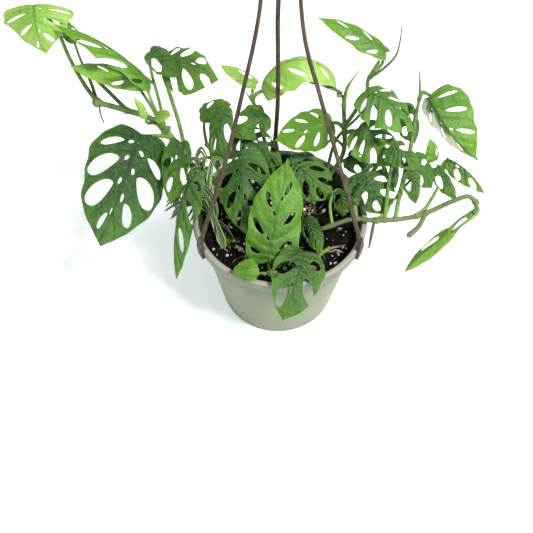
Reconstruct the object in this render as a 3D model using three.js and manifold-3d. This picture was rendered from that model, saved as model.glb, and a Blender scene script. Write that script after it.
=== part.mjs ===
// Monstera adansonii in a hanging pot with a three-strand hanger.
// Units are millimetres, +Z is up, the origin is the middle of the pot's underside.
import * as THREE from "three";
import ManifoldModule from "manifold-3d";

const wasm = await ManifoldModule();
wasm.setup();
const { Manifold, Mesh } = wasm;

const GAP = 0.3;                 // free space kept between two separate pieces
const TAU = Math.PI * 2;

// ---------------------------------------------------------------- materials
const TONES = {
  pot_plastic: { color: "#9fab95", roughness: 0.55 },
  hanger_plastic: { color: "#6b5750", roughness: 0.45 },
  potting_soil: { color: "#2a211b", roughness: 0.95 },
  stem_green: { color: "#6f9450", roughness: 0.5 },
  leaf_mature: { color: "#3f6b35", roughness: 0.42 },
  leaf_young: { color: "#86b84a", roughness: 0.42 },
  leaf_variegated: { color: "#8fa878", roughness: 0.5 },
};

const root = new THREE.Group();
root.name = "monstera_hanging_pot";

function add(name, geometry, tone) {
  const material = new THREE.MeshStandardMaterial({ ...TONES[tone], metalness: 0 });
  material.name = tone;
  const mesh = new THREE.Mesh(geometry, material);
  mesh.name = name;
  root.add(mesh);
}

// ---------------------------------------------------------------- solids
function geometryOf(points, triangles) {
  const g = new THREE.BufferGeometry();
  g.setAttribute("position", new THREE.BufferAttribute(new Float32Array(points.flat()), 3));
  g.setIndex(triangles.flat());
  g.computeVertexNormals();
  return g;
}

function solidOf(points, triangles) {
  return new Manifold(new Mesh({
    numProp: 3,
    vertProperties: new Float32Array(points.flat()),
    triVerts: new Uint32Array(triangles.flat()),
  }));
}

function geometryOfSolid(solid) {
  const m = solid.getMesh();
  const g = new THREE.BufferGeometry();
  g.setAttribute("position", new THREE.BufferAttribute(new Float32Array(m.vertProperties), 3));
  g.setIndex(Array.from(m.triVerts));
  g.computeVertexNormals();
  return g;
}

// Closed body of revolution from a closed profile of [radius, height] points that
// starts and ends on the axis; lift(radius, angle) raises a point a little.
function lathe(profile, sides, lift = () => 0) {
  const points = [];
  const triangles = [];
  const rows = profile.map(([r, z]) => {
    if (r === 0) {
      points.push([0, 0, z + lift(0, 0)]);
      return [points.length - 1];
    }
    const row = [];
    for (let i = 0; i < sides; i++) {
      const a = TAU * i / sides;
      points.push([r * Math.cos(a), r * Math.sin(a), z + lift(r, a, z)]);
      row.push(points.length - 1);
    }
    return row;
  });
  for (let k = 0; k + 1 < rows.length; k++) {
    const [p, q] = [rows[k], rows[k + 1]];
    for (let i = 0; i < sides; i++) {
      const j = (i + 1) % sides;
      if (p.length > 1) triangles.push([p[i], p[j], q[q.length > 1 ? j : 0]]);
      if (q.length > 1) triangles.push([p[p.length > 1 ? i : 0], q[j], q[i]]);
    }
  }
  return solidOf(points, triangles);
}

// Round or oval rod along a smooth path. Each station is [x, y, z, radius]; wide
// stretches the section across the direction "over".
function rod(stations, sides = 5, steps = 2, wide = 1, over = null) {
  const curve = new THREE.CatmullRomCurve3(
    stations.map(([x, y, z]) => new THREE.Vector3(x, y, z)), false, "centripetal");
  const count = (stations.length - 1) * steps;
  const points = [];
  const triangles = [];
  let side = over ? new THREE.Vector3(...over) : new THREE.Vector3(0.31, 0.17, 0.93);
  for (let k = 0; k <= count; k++) {
    const t = k / count;
    const c = curve.getPoint(t);
    const dir = curve.getTangent(t);
    side = side.clone().addScaledVector(dir, -side.dot(dir)).normalize();
    const up = new THREE.Vector3().crossVectors(dir, side);
    const at = t * (stations.length - 1);
    const i = Math.min(Math.floor(at), stations.length - 2);
    const r = stations[i][3] + (stations[i + 1][3] - stations[i][3]) * (at - i);
    for (let n = 0; n < sides; n++) {
      const a = TAU * n / sides;
      const p = c.clone().addScaledVector(side, r * wide * Math.cos(a));
      p.addScaledVector(up, r * Math.sin(a));
      points.push([p.x, p.y, p.z]);
    }
  }
  for (let k = 0; k < count; k++) {
    for (let n = 0; n < sides; n++) {
      const m = (n + 1) % sides;
      const [a, b, c, d] = [k * sides + n, k * sides + m, (k + 1) * sides + m, (k + 1) * sides + n];
      triangles.push([a, b, c], [a, c, d]);
    }
  }
  for (let n = 1; n + 1 < sides; n++) {
    triangles.push([0, n + 1, n]);
    const e = count * sides;
    triangles.push([e, e + n, e + n + 1]);
  }
  return solidOf(points, triangles);
}

// Prism from a polygon in the radius-height plane, spread sideways, turned to an azimuth.
function plate(polygon, width, azimuth, shift) {
  const c = Math.cos(azimuth);
  const s = Math.sin(azimuth);
  const n = polygon.length;
  const points = [];
  for (const y of [-width / 2, width / 2]) {
    for (const [r, z] of polygon) points.push([r * c - y * s + shift, r * s + y * c, z]);
  }
  const triangles = [];
  const flat = polygon.map(([r, z]) => new THREE.Vector2(r, z));
  for (const [a, b, d] of THREE.ShapeUtils.triangulateShape(flat, [])) {
    triangles.push([a, b, d], [a + n, d + n, b + n]);
  }
  for (let i = 0; i < n; i++) {
    const j = (i + 1) % n;
    triangles.push([i, i + n, j + n], [i, j + n, j]);
  }
  return solidOf(points, triangles);
}

// ---------------------------------------------------------------- pot and soil
const POT_SIDES = 36;
const POT_HEIGHT = 123;
const SOIL_TOP = 104;

const POT_PROFILE = [
  [0, 0], [58.4, 0], [59.4, 1], [73.9, 110], [74.6, 119.4],
  [78.1, 119.4], [78.4, 113], [80, 113], [80, 121.4], [79, POT_HEIGHT], [76.4, POT_HEIGHT],
  [75, 121.6], [72.6, 108], [58.4, 4], [56.6, 2.6], [0, 2.6],
];

const pot = () => lathe(POT_PROFILE, POT_SIDES);

const soilBump = (r, a) => 1.5 * Math.sin(3 * a + r / 9) + 1.1 * Math.sin(5 * a - r / 6 + 2);

function soil(stemFeet) {
  const bottom = 2.6 + GAP;
  const wallAt = (z) => 58.4 + (72.6 - 58.4) * (z - 4) / 104 - GAP - 0.1;
  const lift = (r, a, z) => (z > 90 && r > 0 ? soilBump(r, a) : 0);
  let body = lathe([
    [0, bottom], [56, bottom], [wallAt(5), 5], [wallAt(100), 100], [62, SOIL_TOP],
    [46, SOIL_TOP + 1], [26, SOIL_TOP + 2], [0, SOIL_TOP + 2],
  ], POT_SIDES, lift);
  for (const [x, y, r] of stemFeet) {
    body = body.subtract(Manifold.cylinder(30, r + GAP, r + GAP, 8).translate([x, y, 92]));
  }
  return body;
}

// ---------------------------------------------------------------- hanger
const HUB_X = -4;                // the hub hangs a little to the left of the pot's axis
const HUB_Z = 366;

// Strand centre line as [distance from the axis, height].
const STRAND_LINE = [
  [12.5, 362, 1.5], [12.8, 345, 1.5], [14.5, 326, 1.5], [19.5, 302, 1.6], [30, 270, 1.7],
  [41, 237, 1.8], [54, 200, 1.95], [66.5, 166, 2.1], [76, 140, 2.3], [80.4, 127, 2.6],
];

function strand(azimuth) {
  const c = Math.cos(azimuth);
  const s = Math.sin(azimuth);
  const lean = (z) => HUB_X * Math.min(1, Math.max(0, (z - 190) / 110) ** 1.3);
  const stations = STRAND_LINE.map(([r, z, w]) => [r * c + lean(z), r * s, z, w * 0.8]);
  const arm = rod(stations, 6, 2, 1.25, [-s, c, 0]);
  const clip = plate([
    [77.2, POT_HEIGHT + GAP], [80 + GAP, POT_HEIGHT + GAP], [80 + GAP, 112.7], [79, 112.7],
    [79, 110.9], [82.2, 110.9], [82.6, 124], [81.8, 130], [79.2, 130], [78.4, 125.2], [77.2, 125],
  ], 9, azimuth, 0);
  const flare = plate([[78.2, 127], [82.4, 127], [80.4, 134], [76.6, 135.5]], 6, azimuth, 0);
  return Manifold.union([arm, clip, flare]);
}

function hangerHook() {
  const parts = [Manifold.cylinder(12, 5.5, 5.5, 12).translate([HUB_X, 0, HUB_Z - 10])];
  for (const azimuth of STRAND_AZIMUTHS) {
    const arm = Manifold.cube([17, 6.4, 8], false).translate([0, -3.2, HUB_Z - 8]);
    parts.push(arm.rotate([0, 0, azimuth * 360 / TAU]).translate([HUB_X, 0, 0]));
  }
  parts.push(rod([
    [HUB_X, 0, HUB_Z - 2, 2.6], [HUB_X, 0, HUB_Z + 14, 2.5], [HUB_X + 6, 0, HUB_Z + 24, 2.5],
    [HUB_X + 14, 0, HUB_Z + 36, 2.5], [HUB_X + 10.5, 0, HUB_Z + 48, 2.5],
    [HUB_X, 0, HUB_Z + 53, 2.5], [HUB_X - 10.5, 0, HUB_Z + 48, 2.5],
    [HUB_X - 14.5, 0, HUB_Z + 38, 2.4], [HUB_X - 13.5, 0, HUB_Z + 31, 2.2],
  ], 6, 2));
  let body = Manifold.union(parts);
  for (const azimuth of STRAND_AZIMUTHS) {
    const x = HUB_X + 13 * Math.cos(azimuth);
    const y = 13 * Math.sin(azimuth);
    body = body.subtract(Manifold.cylinder(9, 2, 2, 12).translate([x, y, HUB_Z - 12.4]));
  }
  return body;
}

const STRAND_AZIMUTHS = [TAU * 93 / 360, TAU * 210 / 360, TAU * 330 / 360];

// ---------------------------------------------------------------- leaf blades
// The blade lies in a plane first. s runs from 0 at the base to 1 at the tip and names
// both a point of the midrib and the margin point its side vein ends at; r runs from 0
// on the midrib to 1 on the margin.
function bladePoint(s, r, side, belly = 0.22) {
  const rib = s ** 2.2;
  const edge = 0.45 - 0.55 * Math.cos(Math.PI * s) + 0.1 * Math.exp(-((s / 0.07) ** 2));
  const taper = 1 - 0.72 * Math.exp(-(((1 - s) / 0.2) ** 2));
  const reach = Math.sin(Math.PI * s) ** 0.75 * (1 + belly * Math.cos(Math.PI * s)) * taper;
  return [rib + (edge - rib) * r - 0.03 * Math.sin(Math.PI * r) * Math.sin(Math.PI * s), side * reach * r];
}

// Frame of a leaf in space: unit vectors along the chord, up from the face and across.
function leafFrame(leaf) {
  const base = new THREE.Vector3(...leaf.base);
  const along = new THREE.Vector3(...leaf.tip).sub(base);
  const chord = along.length();
  along.normalize();
  const face = new THREE.Vector3(...leaf.face);
  face.addScaledVector(along, -face.dot(along)).normalize();
  const across = new THREE.Vector3().crossVectors(face, along);
  const droop = leaf.droop * TAU / 360;
  return { base, along, face, across, droop, chord, length: chord * (droop / 2) / Math.sin(droop / 2) };
}

// The midrib bends down through the droop angle; the halves fold down from it, curl at
// the margin and wave; the whole blade twists about its midrib.
function leafSpace(leaf, f, x, y, lift) {
  const turn = f.droop * (0.5 - x);
  const scale = f.chord / (2 * Math.sin(f.droop / 2));
  const alongBy = scale * (Math.sin(f.droop / 2) - Math.sin(turn));
  const faceBy = scale * (Math.cos(turn) - Math.cos(f.droop / 2));
  const half = leaf.width / 2;
  const fold = leaf.fold * TAU / 360;
  const twist = (leaf.twist || 0) * TAU / 360 * x;
  const a = Math.abs(y);
  const out = y * half * Math.cos(fold);
  const drop = a * half * Math.sin(fold) + leaf.curl * half * a * a
    - 0.05 * half * a * a * Math.sin(9 * x + leaf.droop);
  const sink = -drop + lift;
  const sideways = out * Math.cos(twist) - sink * Math.sin(twist);
  const upward = out * Math.sin(twist) + sink * Math.cos(twist);
  const p = f.base.clone();
  p.addScaledVector(f.along, alongBy - Math.sin(turn) * upward);
  p.addScaledVector(f.face, faceBy + Math.cos(turn) * upward);
  p.addScaledVector(f.across, sideways);
  return p;
}

const chance = (i, seed) => {
  const v = Math.sin(i * 12.9898 + seed * 78.233) * 43758.5453;
  return v - Math.floor(v);
};

// Holes of the sector between two side veins, each a list of [s, r] points: one long hole,
// and on some leaves a small one beside the midrib.
function sectorHoles(leaf, s0, s1, side, cell) {
  const n = leaf.sectors;
  const mid = (s0 + s1) / 2;
  if (s0 === 0 || s1 > 0.97) return [];
  if (leaf.wide?.includes(cell)) {
    return [[0.5, 1.5, 2.5, 3.5, 4.5, 5.5].map((i) => [
      mid + 0.4 * (s1 - s0) * Math.sin((TAU * i) / 6), 0.57 + 0.41 * Math.cos((TAU * i) / 6)])];
  }
  const k = Math.round(20 * mid) + (side > 0 ? 0 : 1);
  const pierce = leaf.pierce ?? 1;
  const big = 0.75 + 0.5 * chance(k, leaf.seed);
  const half = 0.24 * pierce * (leaf.slim ?? 1) * big * (s1 - s0);
  const centre = 0.56 + 0.06 * (chance(k + 9, leaf.seed) - 0.5);
  const longest = leaf.inner ? 0.27 : 0.35;
  const reach = longest * Math.min(1, pierce) * (0.75 + 0.3 * chance(k + 5, leaf.seed));
  const corners = n > 3 ? 6 : 5;
  const long = Array.from({ length: corners }, (_, i) => {
    const a = TAU * (i + 0.5) / corners;
    return [mid + half * Math.sin(a), centre + reach * Math.cos(a)];
  });
  if (!leaf.inner) return [long];
  const w = 0.2 * (s1 - s0);
  const low = centre - reach - 0.03;
  return [long, [[mid, low], [mid - w, low - 0.06], [mid, low - 0.14], [mid + w, low - 0.06]]];
}

// A sector whose slot runs out through the margin, as [s, r] points from s1 to s0.
function openSlot(s0, s1) {
  const mid = (s0 + s1) / 2;
  const w = (s1 - s0) / 2;
  return [[mid + 0.42 * w, 0.97], [mid + 0.5 * w, 0.75], [mid + 0.25 * w, 0.4],
    [mid - 0.25 * w, 0.4], [mid - 0.5 * w, 0.75], [mid - 0.42 * w, 0.97]];
}

// Closed thin blade. Both faces carry the same triangles; walls close margin and holes.
const BLADE_THICKNESS = 0.7;

function blade(leaf) {
  const f = leafFrame(leaf);
  const n = leaf.sectors;
  const index = new Map();
  const flat = [];
  const vertex = ([x, y]) => {
    const key = `${Math.round(x * 1e5)},${Math.round(y * 1e5)}`;
    if (!index.has(key)) {
      index.set(key, flat.length);
      flat.push([x, y]);
    }
    return index.get(key);
  };
  const stationsOf = (side) => {
    const shift = side > 0 ? 0 : 0.5;
    const list = [0];
    for (let j = 1; j <= n; j++) {
      const s = (j - shift) / n;
      if (s > 0.18 && s < 0.995) list.push(s);
    }
    list.push(1);
    return list;
  };
  const ribStations = [...new Set([...stationsOf(1), ...stationsOf(-1)])].sort((a, b) => a - b);
  const faces = [];
  for (const side of [1, -1]) {
    const stations = stationsOf(side);
    for (let j = 0; j + 1 < stations.length; j++) {
      const [s0, s1] = [stations[j], stations[j + 1]];
      const ring = [];
      for (const s of ribStations) if (s >= s0 && s <= s1) ring.push(bladePoint(s, 0, side, leaf.belly));
      if (s1 < 1) ring.push(bladePoint(s1, 0.55, side, leaf.belly));
      const open = (leaf.open || []).includes(side * (j + 1)) && s0 > 0 && s1 < 1;
      const marks = s0 === 0 ? 4 : s1 === 1 ? 3 : 2;
      const margin = Array.from({ length: marks + 1 }, (_, k) => [s1 + (s0 - s1) * k / marks, 1]);
      if (open) margin.splice(1, marks - 1, ...openSlot(s0, s1));
      for (const [s, r] of margin) {
        if (s > 0 && s < 1) ring.push(bladePoint(s, r, side, leaf.belly));
      }
      if (s0 > 0) ring.push(bladePoint(s0, 0.55, side, leaf.belly));
      const cuts = open ? [] : sectorHoles(leaf, s0, s1, side, side * (j + 1));
      const holes = cuts.map((hole) => hole.map(([s, r]) => bladePoint(s, r, side, leaf.belly)));
      const bulge = (x, y) => (y === 0 ? -side * 0.4 * Math.sin(Math.PI * Math.abs(x)) : 0);
      const scaled = (list) => list.map(([x, y]) => (
        new THREE.Vector2(x * f.length, y * leaf.width / 2 + bulge(x, y))));
      const all = [...ring, ...holes.flat()];
      const ids = all.map(vertex);
      const drawn = scaled(all);
      for (const tri of THREE.ShapeUtils.triangulateShape(scaled(ring), holes.map(scaled))) {
        const [a, b, c] = tri.map((i) => ids[i]);
        const [p, q, r] = tri.map((i) => drawn[i]);
        const area = q.clone().sub(p).cross(r.clone().sub(p));
        faces.push(area < 0 ? [a, c, b] : [a, b, c]);
      }
    }
  }
  const count = flat.length;
  const points = [];
  for (const lift of [BLADE_THICKNESS / 2, -BLADE_THICKNESS / 2]) {
    for (const [x, y] of flat) {
      const p = leafSpace(leaf, f, x, y, lift);
      points.push([p.x, p.y, p.z]);
    }
  }
  const edges = new Set();
  const triangles = [];
  for (const [a, b, c] of faces) {
    triangles.push([a, b, c], [a + count, c + count, b + count]);
    for (const [p, q] of [[a, b], [b, c], [c, a]]) edges.add(`${p},${q}`);
  }
  for (const e of edges) {
    const [p, q] = e.split(",").map(Number);
    if (!edges.has(`${q},${p}`)) triangles.push([p, p + count, q + count], [p, q + count, q]);
  }
  return geometryOf(points, triangles);
}

const LEAVES = [
  // far left runner
  { name: "leaf_far_left", vine: "vine_left", tone: "leaf_young", sectors: 5, seed: 1,
    base: [-198, 94, 266], tip: [-196, 80, 232], width: 47, face: [0, -0.4, 0.9],
    droop: 90, fold: 12, curl: 0.1, pierce: 1, belly: 0.7, slim: 0.45,
    petiole: [[-162, 69, 190], [-170, 73, 206], [-178, 80, 228], [-185, 89, 252]] },
  { name: "leaf_left_spur", vine: "vine_left", tone: "leaf_mature", sectors: 2, seed: 4,
    base: [-170, 86, 240], tip: [-181, 97, 252], width: 14, face: [0.3, -0.3, 0.9],
    droop: 20, fold: 20, curl: 0.1,
    petiole: [[-162, 69, 190], [-166, 79, 204], [-170, 84, 216], [-171, 84, 230]] },
  { name: "leaf_left_back", vine: "vine_left", tone: "leaf_mature", sectors: 5, seed: 2,
    open: [3, -3],
    base: [-108, 54, 223], tip: [-180, 80, 257], width: 26, face: [0.1, 0.3, 0.9],
    droop: 40, fold: 15, curl: 0.2, slim: 0.6,
    petiole: [[-103, 55, 170], [-107, 50, 196], [-110, 50, 216]] },
  { name: "leaf_left_back_low", vine: "vine_left", tone: "leaf_young", sectors: 3, seed: 3,
    base: [-117, 61, 217], tip: [-174, 70, 226], width: 18, face: [0, -0.5, 0.8],
    droop: 30, fold: 15, curl: 0.1, pierce: 1, slim: 0.45,
    petiole: [[-106, 56, 173], [-113, 60, 194], [-123, 70, 208]] },
  { name: "leaf_left_big", vine: "vine_left", tone: "leaf_mature", sectors: 6, seed: 5,
    wide: [-3, -4, 3], inner: true, pierce: 1,
    base: [-120, 36, 184], tip: [-154, -44, 132], width: 74, face: [0.3, -0.5, 0.8],
    droop: 35, fold: 22, curl: 0.1, slim: 0.8,
    petiole: [[-98, 50, 166], [-104, 45, 173]] },
  { name: "leaf_left_narrow", vine: "vine_left", tone: "leaf_mature", sectors: 4, seed: 8,
    base: [-84, 21, 189], tip: [-95, -11, 147], width: 30, face: [0.3, -0.3, 0.8],
    droop: 30, fold: 40, curl: 0.1, open: [3],
    petiole: [[-84, 37, 151], [-82, 33, 168], [-84, 25, 181]] },
  { name: "leaf_left_unfurling", vine: "vine_left", tone: "leaf_young", sectors: 1, seed: 9,
    base: [-117, 40, 197], tip: [-122, 48, 212], width: 12, face: [-0.3, -0.8, 0.5],
    droop: 20, fold: 50, curl: 0.1,
    petiole: [[-112, 58, 177], [-116, 46, 188]] },
  { name: "leaf_left_bud", vine: "vine_left", tone: "leaf_young", sectors: 1, seed: 10,
    base: [-106, 42, 200], tip: [-92, 34, 206], width: 13, face: [0, -0.4, 0.9],
    droop: 30, fold: 20, curl: 0.1,
    petiole: [[-103, 55, 170], [-105, 46, 190]] },
  { name: "leaf_top_left", vine: "vine_left", tone: "leaf_mature", sectors: 5, seed: 6,
    open: [-2, -4, 3],
    base: [-97, 71, 232], tip: [-54, 70, 214], width: 46, face: [0.1, -0.4, 0.9],
    droop: 75, fold: 25, curl: 0.1,
    petiole: [[-84, 37, 151], [-90, 54, 182], [-97, 67, 214]] },
  { name: "leaf_top_left_small", vine: "vine_left", tone: "leaf_mature", sectors: 2, seed: 7,
    base: [-106, 66, 244], tip: [-84, 58, 226], width: 20, face: [0.4, -0.6, 0.6],
    droop: 40, fold: 15, curl: 0.1,
    petiole: [[-103, 55, 170], [-105, 60, 200], [-108, 66, 230]] },
  // back left
  { name: "leaf_hanging_left", vine: "vine_back_left", tone: "leaf_mature", sectors: 5, seed: 11,
    open: [-4],
    base: [-77, 14, 158], tip: [-95, -48, 86], width: 30, face: [-0.6, -0.3, 0.6],
    droop: 40, fold: 30, curl: 0.1, slim: 0.7,
    petiole: [[-58, 53, 134], [-68, 42, 150], [-74, 30, 156]] },
  { name: "leaf_back_left_top", vine: "vine_back_left", tone: "leaf_mature", sectors: 3, seed: 12,
    base: [-73, 73, 174], tip: [-44, 67, 190], width: 20, face: [-0.4, -0.4, 0.8],
    droop: 20, fold: 10, curl: 0.1,
    petiole: [[-68, 58, 150], [-70, 66, 162]] },
  { name: "leaf_back_left_edge", vine: "vine_back_left", tone: "leaf_mature", sectors: 3, seed: 13,
    base: [-50, 52, 197], tip: [-57, 26, 150], width: 21, face: [-0.2, -0.9, 0.4],
    droop: 30, fold: 12, curl: 0.1, open: [2],
    petiole: [[-64, 56, 145], [-60, 58, 160], [-53, 57, 178]] },
  // back
  { name: "leaf_back_narrow", vine: "vine_back", tone: "leaf_young", sectors: 2, seed: 14,
    base: [-22, 80, 201], tip: [-52, 88, 214], width: 13, face: [0, -0.4, 0.9],
    droop: 30, fold: 15, curl: 0.1,
    petiole: [[-26, 77, 188]] },
  { name: "leaf_back_arch", vine: "vine_back", tone: "leaf_young", sectors: 5, seed: 15,
    base: [-17, 74, 202], tip: [48, 77, 201], width: 40, face: [0, -0.1, 1],
    droop: 172, fold: 30, curl: 0.1, pierce: 0.7, slim: 0.7,
    petiole: [[-26, 77, 188], [-20, 75, 196]] },
  { name: "leaf_back_slotted", vine: "vine_back", tone: "leaf_mature", sectors: 3, seed: 16,
    base: [-14, 63, 184], tip: [-43, 49, 170], width: 30, face: [0.1, -0.5, 0.8],
    droop: 30, fold: 20, curl: 0.1, open: [2, -2],
    petiole: [[-20, 76, 168], [-18, 74, 178]] },
  // in the pot
  { name: "leaf_pot_back", vine: "vine_middle", tone: "leaf_mature", sectors: 6, seed: 17,
    open: [-3, -4],
    base: [-38, 57, 165], tip: [2, 45, 138], width: 36, face: [-0.1, -0.4, 0.9],
    droop: 40, fold: 20, curl: 0.1,
    petiole: [[-20, 42, 132], [-28, 56, 148], [-36, 63, 158]] },
  { name: "leaf_pot_left", vine: "vine_middle", tone: "leaf_mature", sectors: 6, seed: 18,
    base: [-36, 42, 158], tip: [-31, -20, 118], width: 48, face: [-0.1, -0.4, 0.8],
    droop: 30, fold: 15, curl: 0.1,
    petiole: [[-18, 36, 126], [-30, 33, 138]] },
  { name: "leaf_pot_right", vine: "vine_middle", tone: "leaf_mature", sectors: 6, seed: 19,
    open: [4],
    base: [9, 51, 138], tip: [48, 17, 122], width: 46, face: [-0.1, -0.2, 0.9],
    droop: 40, fold: 15, curl: 0.1,
    petiole: [[-14, 33, 112], [-2, 44, 128]] },
  { name: "leaf_front_bright", vine: "seedling_front", tone: "leaf_young", sectors: 5, seed: 20,
    base: [-11, -53, 120], tip: [5, 8, 178], width: 46, face: [0, -0.7, 0.7],
    droop: 25, fold: 12, curl: 0.05, pierce: 0.8, slim: 0.8,
    petiole: [[4, -62, 112], [0, -66, 116], [-8, -62, 117]] },
  { name: "leaf_front_round", vine: "seedling_front", tone: "leaf_young", sectors: 1, seed: 21,
    base: [-31, -79, 135], tip: [-24, -60, 134], width: 20, face: [0, -0.2, 0.9],
    droop: 20, fold: 5, curl: 0.1,
    petiole: [[4, -62, 112], [-10, -66, 121], [-24, -72, 129]] },
  { name: "leaf_front_rim", vine: "seedling_right", tone: "leaf_mature", sectors: 4, seed: 22,
    open: [3],
    base: [20, -50, 131], tip: [2, -104, 110], width: 42, face: [0.1, -0.4, 0.9],
    droop: 70, fold: 5, curl: 0.05,
    petiole: [[44, -32, 110], [34, -40, 112], [26, -48, 121]] },
  { name: "leaf_front_dark", vine: "vine_right", tone: "leaf_mature", sectors: 2, seed: 23,
    base: [24, -6, 122], tip: [36, -42, 118], width: 18, face: [-0.2, -0.2, 0.9],
    droop: 30, fold: 20, curl: 0.1,
    petiole: [[30, -16, 108], [26, -8, 113]] },
  // upright stem at the back right
  { name: "leaf_back_right_narrow", vine: "vine_upright", tone: "leaf_mature", sectors: 2, seed: 24,
    base: [53, 78, 196], tip: [12, 88, 202], width: 14, face: [0, 0.7, 0.7],
    droop: 30, fold: 15, curl: 0.1,
    petiole: [[57, 74, 184], [55, 77, 191]] },
  { name: "leaf_back_middle", vine: "vine_upright", tone: "leaf_young", sectors: 5, seed: 25,
    base: [47, 67, 172], tip: [-3, 50, 164], width: 44, face: [0, -0.5, 0.8],
    droop: 30, fold: 32, curl: 0.1, pierce: 0.85, slim: 0.7,
    petiole: [[60, 69, 160], [53, 69, 167]] },
  { name: "leaf_right_top", vine: "vine_upright", tone: "leaf_mature", sectors: 6, seed: 26,
    open: [-3, -5, 3, 5],
    base: [70, 57, 213], tip: [110, 30, 194], width: 48, face: [0.2, -0.1, 1],
    droop: 60, fold: 15, curl: 0.1,
    petiole: [[60, 69, 164], [66, 62, 188], [69, 59, 204]] },
  { name: "leaf_right_low", vine: "vine_upright", tone: "leaf_mature", sectors: 6, seed: 27,
    open: [2, 4, -2, -4],
    base: [69, 53, 176], tip: [102, 22, 162], width: 40, face: [0, -0.4, 0.9],
    droop: 40, fold: 15, curl: 0.1,
    petiole: [[60, 67, 156], [65, 58, 168]] },
  { name: "leaf_right_foot", vine: "vine_upright", tone: "leaf_mature", sectors: 3, seed: 28,
    base: [64, 52, 142], tip: [84, 42, 132], width: 22, face: [0, -0.3, 0.9],
    droop: 40, fold: 10, curl: 0.1,
    petiole: [[56, 53, 128], [60, 52, 136]] },
  // top right
  { name: "leaf_top_right", vine: "vine_top_right", tone: "leaf_young", sectors: 4, seed: 29,
    base: [88, 88, 228], tip: [33, 108, 246], width: 19, face: [0, -0.3, 0.9],
    droop: 30, fold: 15, curl: 0.1, slim: 0.6,
    petiole: [[81, 81, 214], [87, 86, 220]] },
  // right runner
  { name: "leaf_right_shade", vine: "vine_right", tone: "leaf_mature", sectors: 5, seed: 30,
    open: [2, 4, -3],
    base: [72, 18, 157], tip: [96, -7, 130], width: 40, face: [0, -0.7, 0.7],
    droop: 30, fold: 10, curl: 0.1,
    petiole: [[68, -12, 128], [68, 4, 133], [70, 15, 146]] },
  { name: "leaf_right_inner", vine: "vine_right", tone: "leaf_mature", sectors: 2, seed: 31,
    base: [57, 11, 140], tip: [58, -2, 120], width: 18, face: [-0.2, -0.5, 0.7],
    droop: 40, fold: 10, curl: 0.1,
    petiole: [[48, -13, 118], [46, 6, 128], [51, 15, 136]] },
  { name: "leaf_right_strap", vine: "vine_right", tone: "leaf_mature", sectors: 2, seed: 32,
    base: [100, 44, 148], tip: [110, 31, 122], width: 16, face: [0.2, -0.7, 0.5],
    droop: 40, fold: 20, curl: 0.1,
    petiole: [[112, 25, 165], [108, 40, 160], [101, 50, 153]] },
  { name: "leaf_far_right", vine: "vine_right", tone: "leaf_young", sectors: 5, seed: 33,
    base: [125, 59, 205], tip: [168, 20, 172], width: 50, face: [-0.74, -0.86, 0.28],
    droop: 45, fold: 38, curl: 0.05, pierce: 0.9, belly: 0.4, slim: 0.5,
    petiole: [[118, 59, 203], [121, 64, 206]] },
  { name: "leaf_right_cluster", vine: "vine_right", tone: "leaf_mature", sectors: 3, seed: 34,
    base: [114, 20, 172], tip: [134, 8, 148], width: 26, face: [0.1, -0.5, 0.8],
    droop: 40, fold: 20, curl: 0.1, open: [-2],
    petiole: [[110, 12, 156], [112, 18, 164]] },
  { name: "leaf_right_behind", vine: "vine_right", tone: "leaf_mature", sectors: 3, seed: 42,
    open: [-3],
    base: [107, 62, 189], tip: [121, 47, 164], width: 22, face: [-0.1, -0.6, 0.8],
    droop: 40, fold: 20, curl: 0.1,
    petiole: [[117, 51, 189], [114, 61, 194], [109, 68, 190]] },
  { name: "leaf_right_curled", vine: "vine_right", tone: "leaf_young", sectors: 2, seed: 35,
    base: [137, 28, 161], tip: [131, 40, 175], width: 13, face: [0.3, -0.7, 0.6],
    droop: 40, fold: 20, curl: 0.1,
    petiole: [[128, 22, 158]] },
  { name: "leaf_right_long", vine: "vine_right", tone: "leaf_mature", sectors: 2, seed: 36,
    base: [138, 22, 158], tip: [158, 4, 137], width: 18, face: [0.3, -0.5, 0.8],
    droop: 30, fold: 25, curl: 0.1,
    petiole: [[128, 22, 158]] },
  { name: "leaf_right_twisted", vine: "vine_right", tone: "leaf_mature", sectors: 4, seed: 37,
    open: [2, -3, 4],
    base: [150, 34, 158], tip: [183, 9, 140], width: 22, face: [0.4, -0.3, 0.8],
    droop: 50, fold: 45, curl: 0.1,
    petiole: [[128, 22, 158], [143, 31, 148]] },
  { name: "leaf_right_hanging", vine: "vine_right", tone: "leaf_mature", sectors: 2, seed: 40,
    base: [112, 6, 170], tip: [119, -6, 143], width: 18, face: [0.2, -0.6, 0.6],
    droop: 30, fold: 25, curl: 0.1,
    petiole: [[105, 2, 147], [108, 9, 158]] },
  { name: "leaf_right_fringe", vine: "vine_right", tone: "leaf_mature", sectors: 3, seed: 41,
    base: [92, 22, 184], tip: [118, 8, 172], width: 22, face: [0.1, -0.5, 0.8],
    droop: 40, fold: 20, curl: 0.1, open: [2],
    petiole: [[110, 18, 160], [98, 26, 176]] },
  { name: "leaf_chain_upper", vine: "vine_right", tone: "leaf_mature", sectors: 2, seed: 38,
    base: [170, -9, 138], tip: [140, -26, 97], width: 18, face: [0.2, 0.7, 0.6],
    droop: 30, fold: 20, curl: 0.1,
    petiole: [[170, -8, 147]] },
  { name: "leaf_chain_lower", vine: "vine_right", tone: "leaf_young", sectors: 2, seed: 39,
    base: [145, -33, 136], tip: [117, -40, 86], width: 15, face: [-0.3, -0.3, 0.9],
    droop: 30, fold: 30, curl: 0.1,
    petiole: [[170, -8, 147], [168, -22, 150], [156, -31, 147]] },
];

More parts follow.
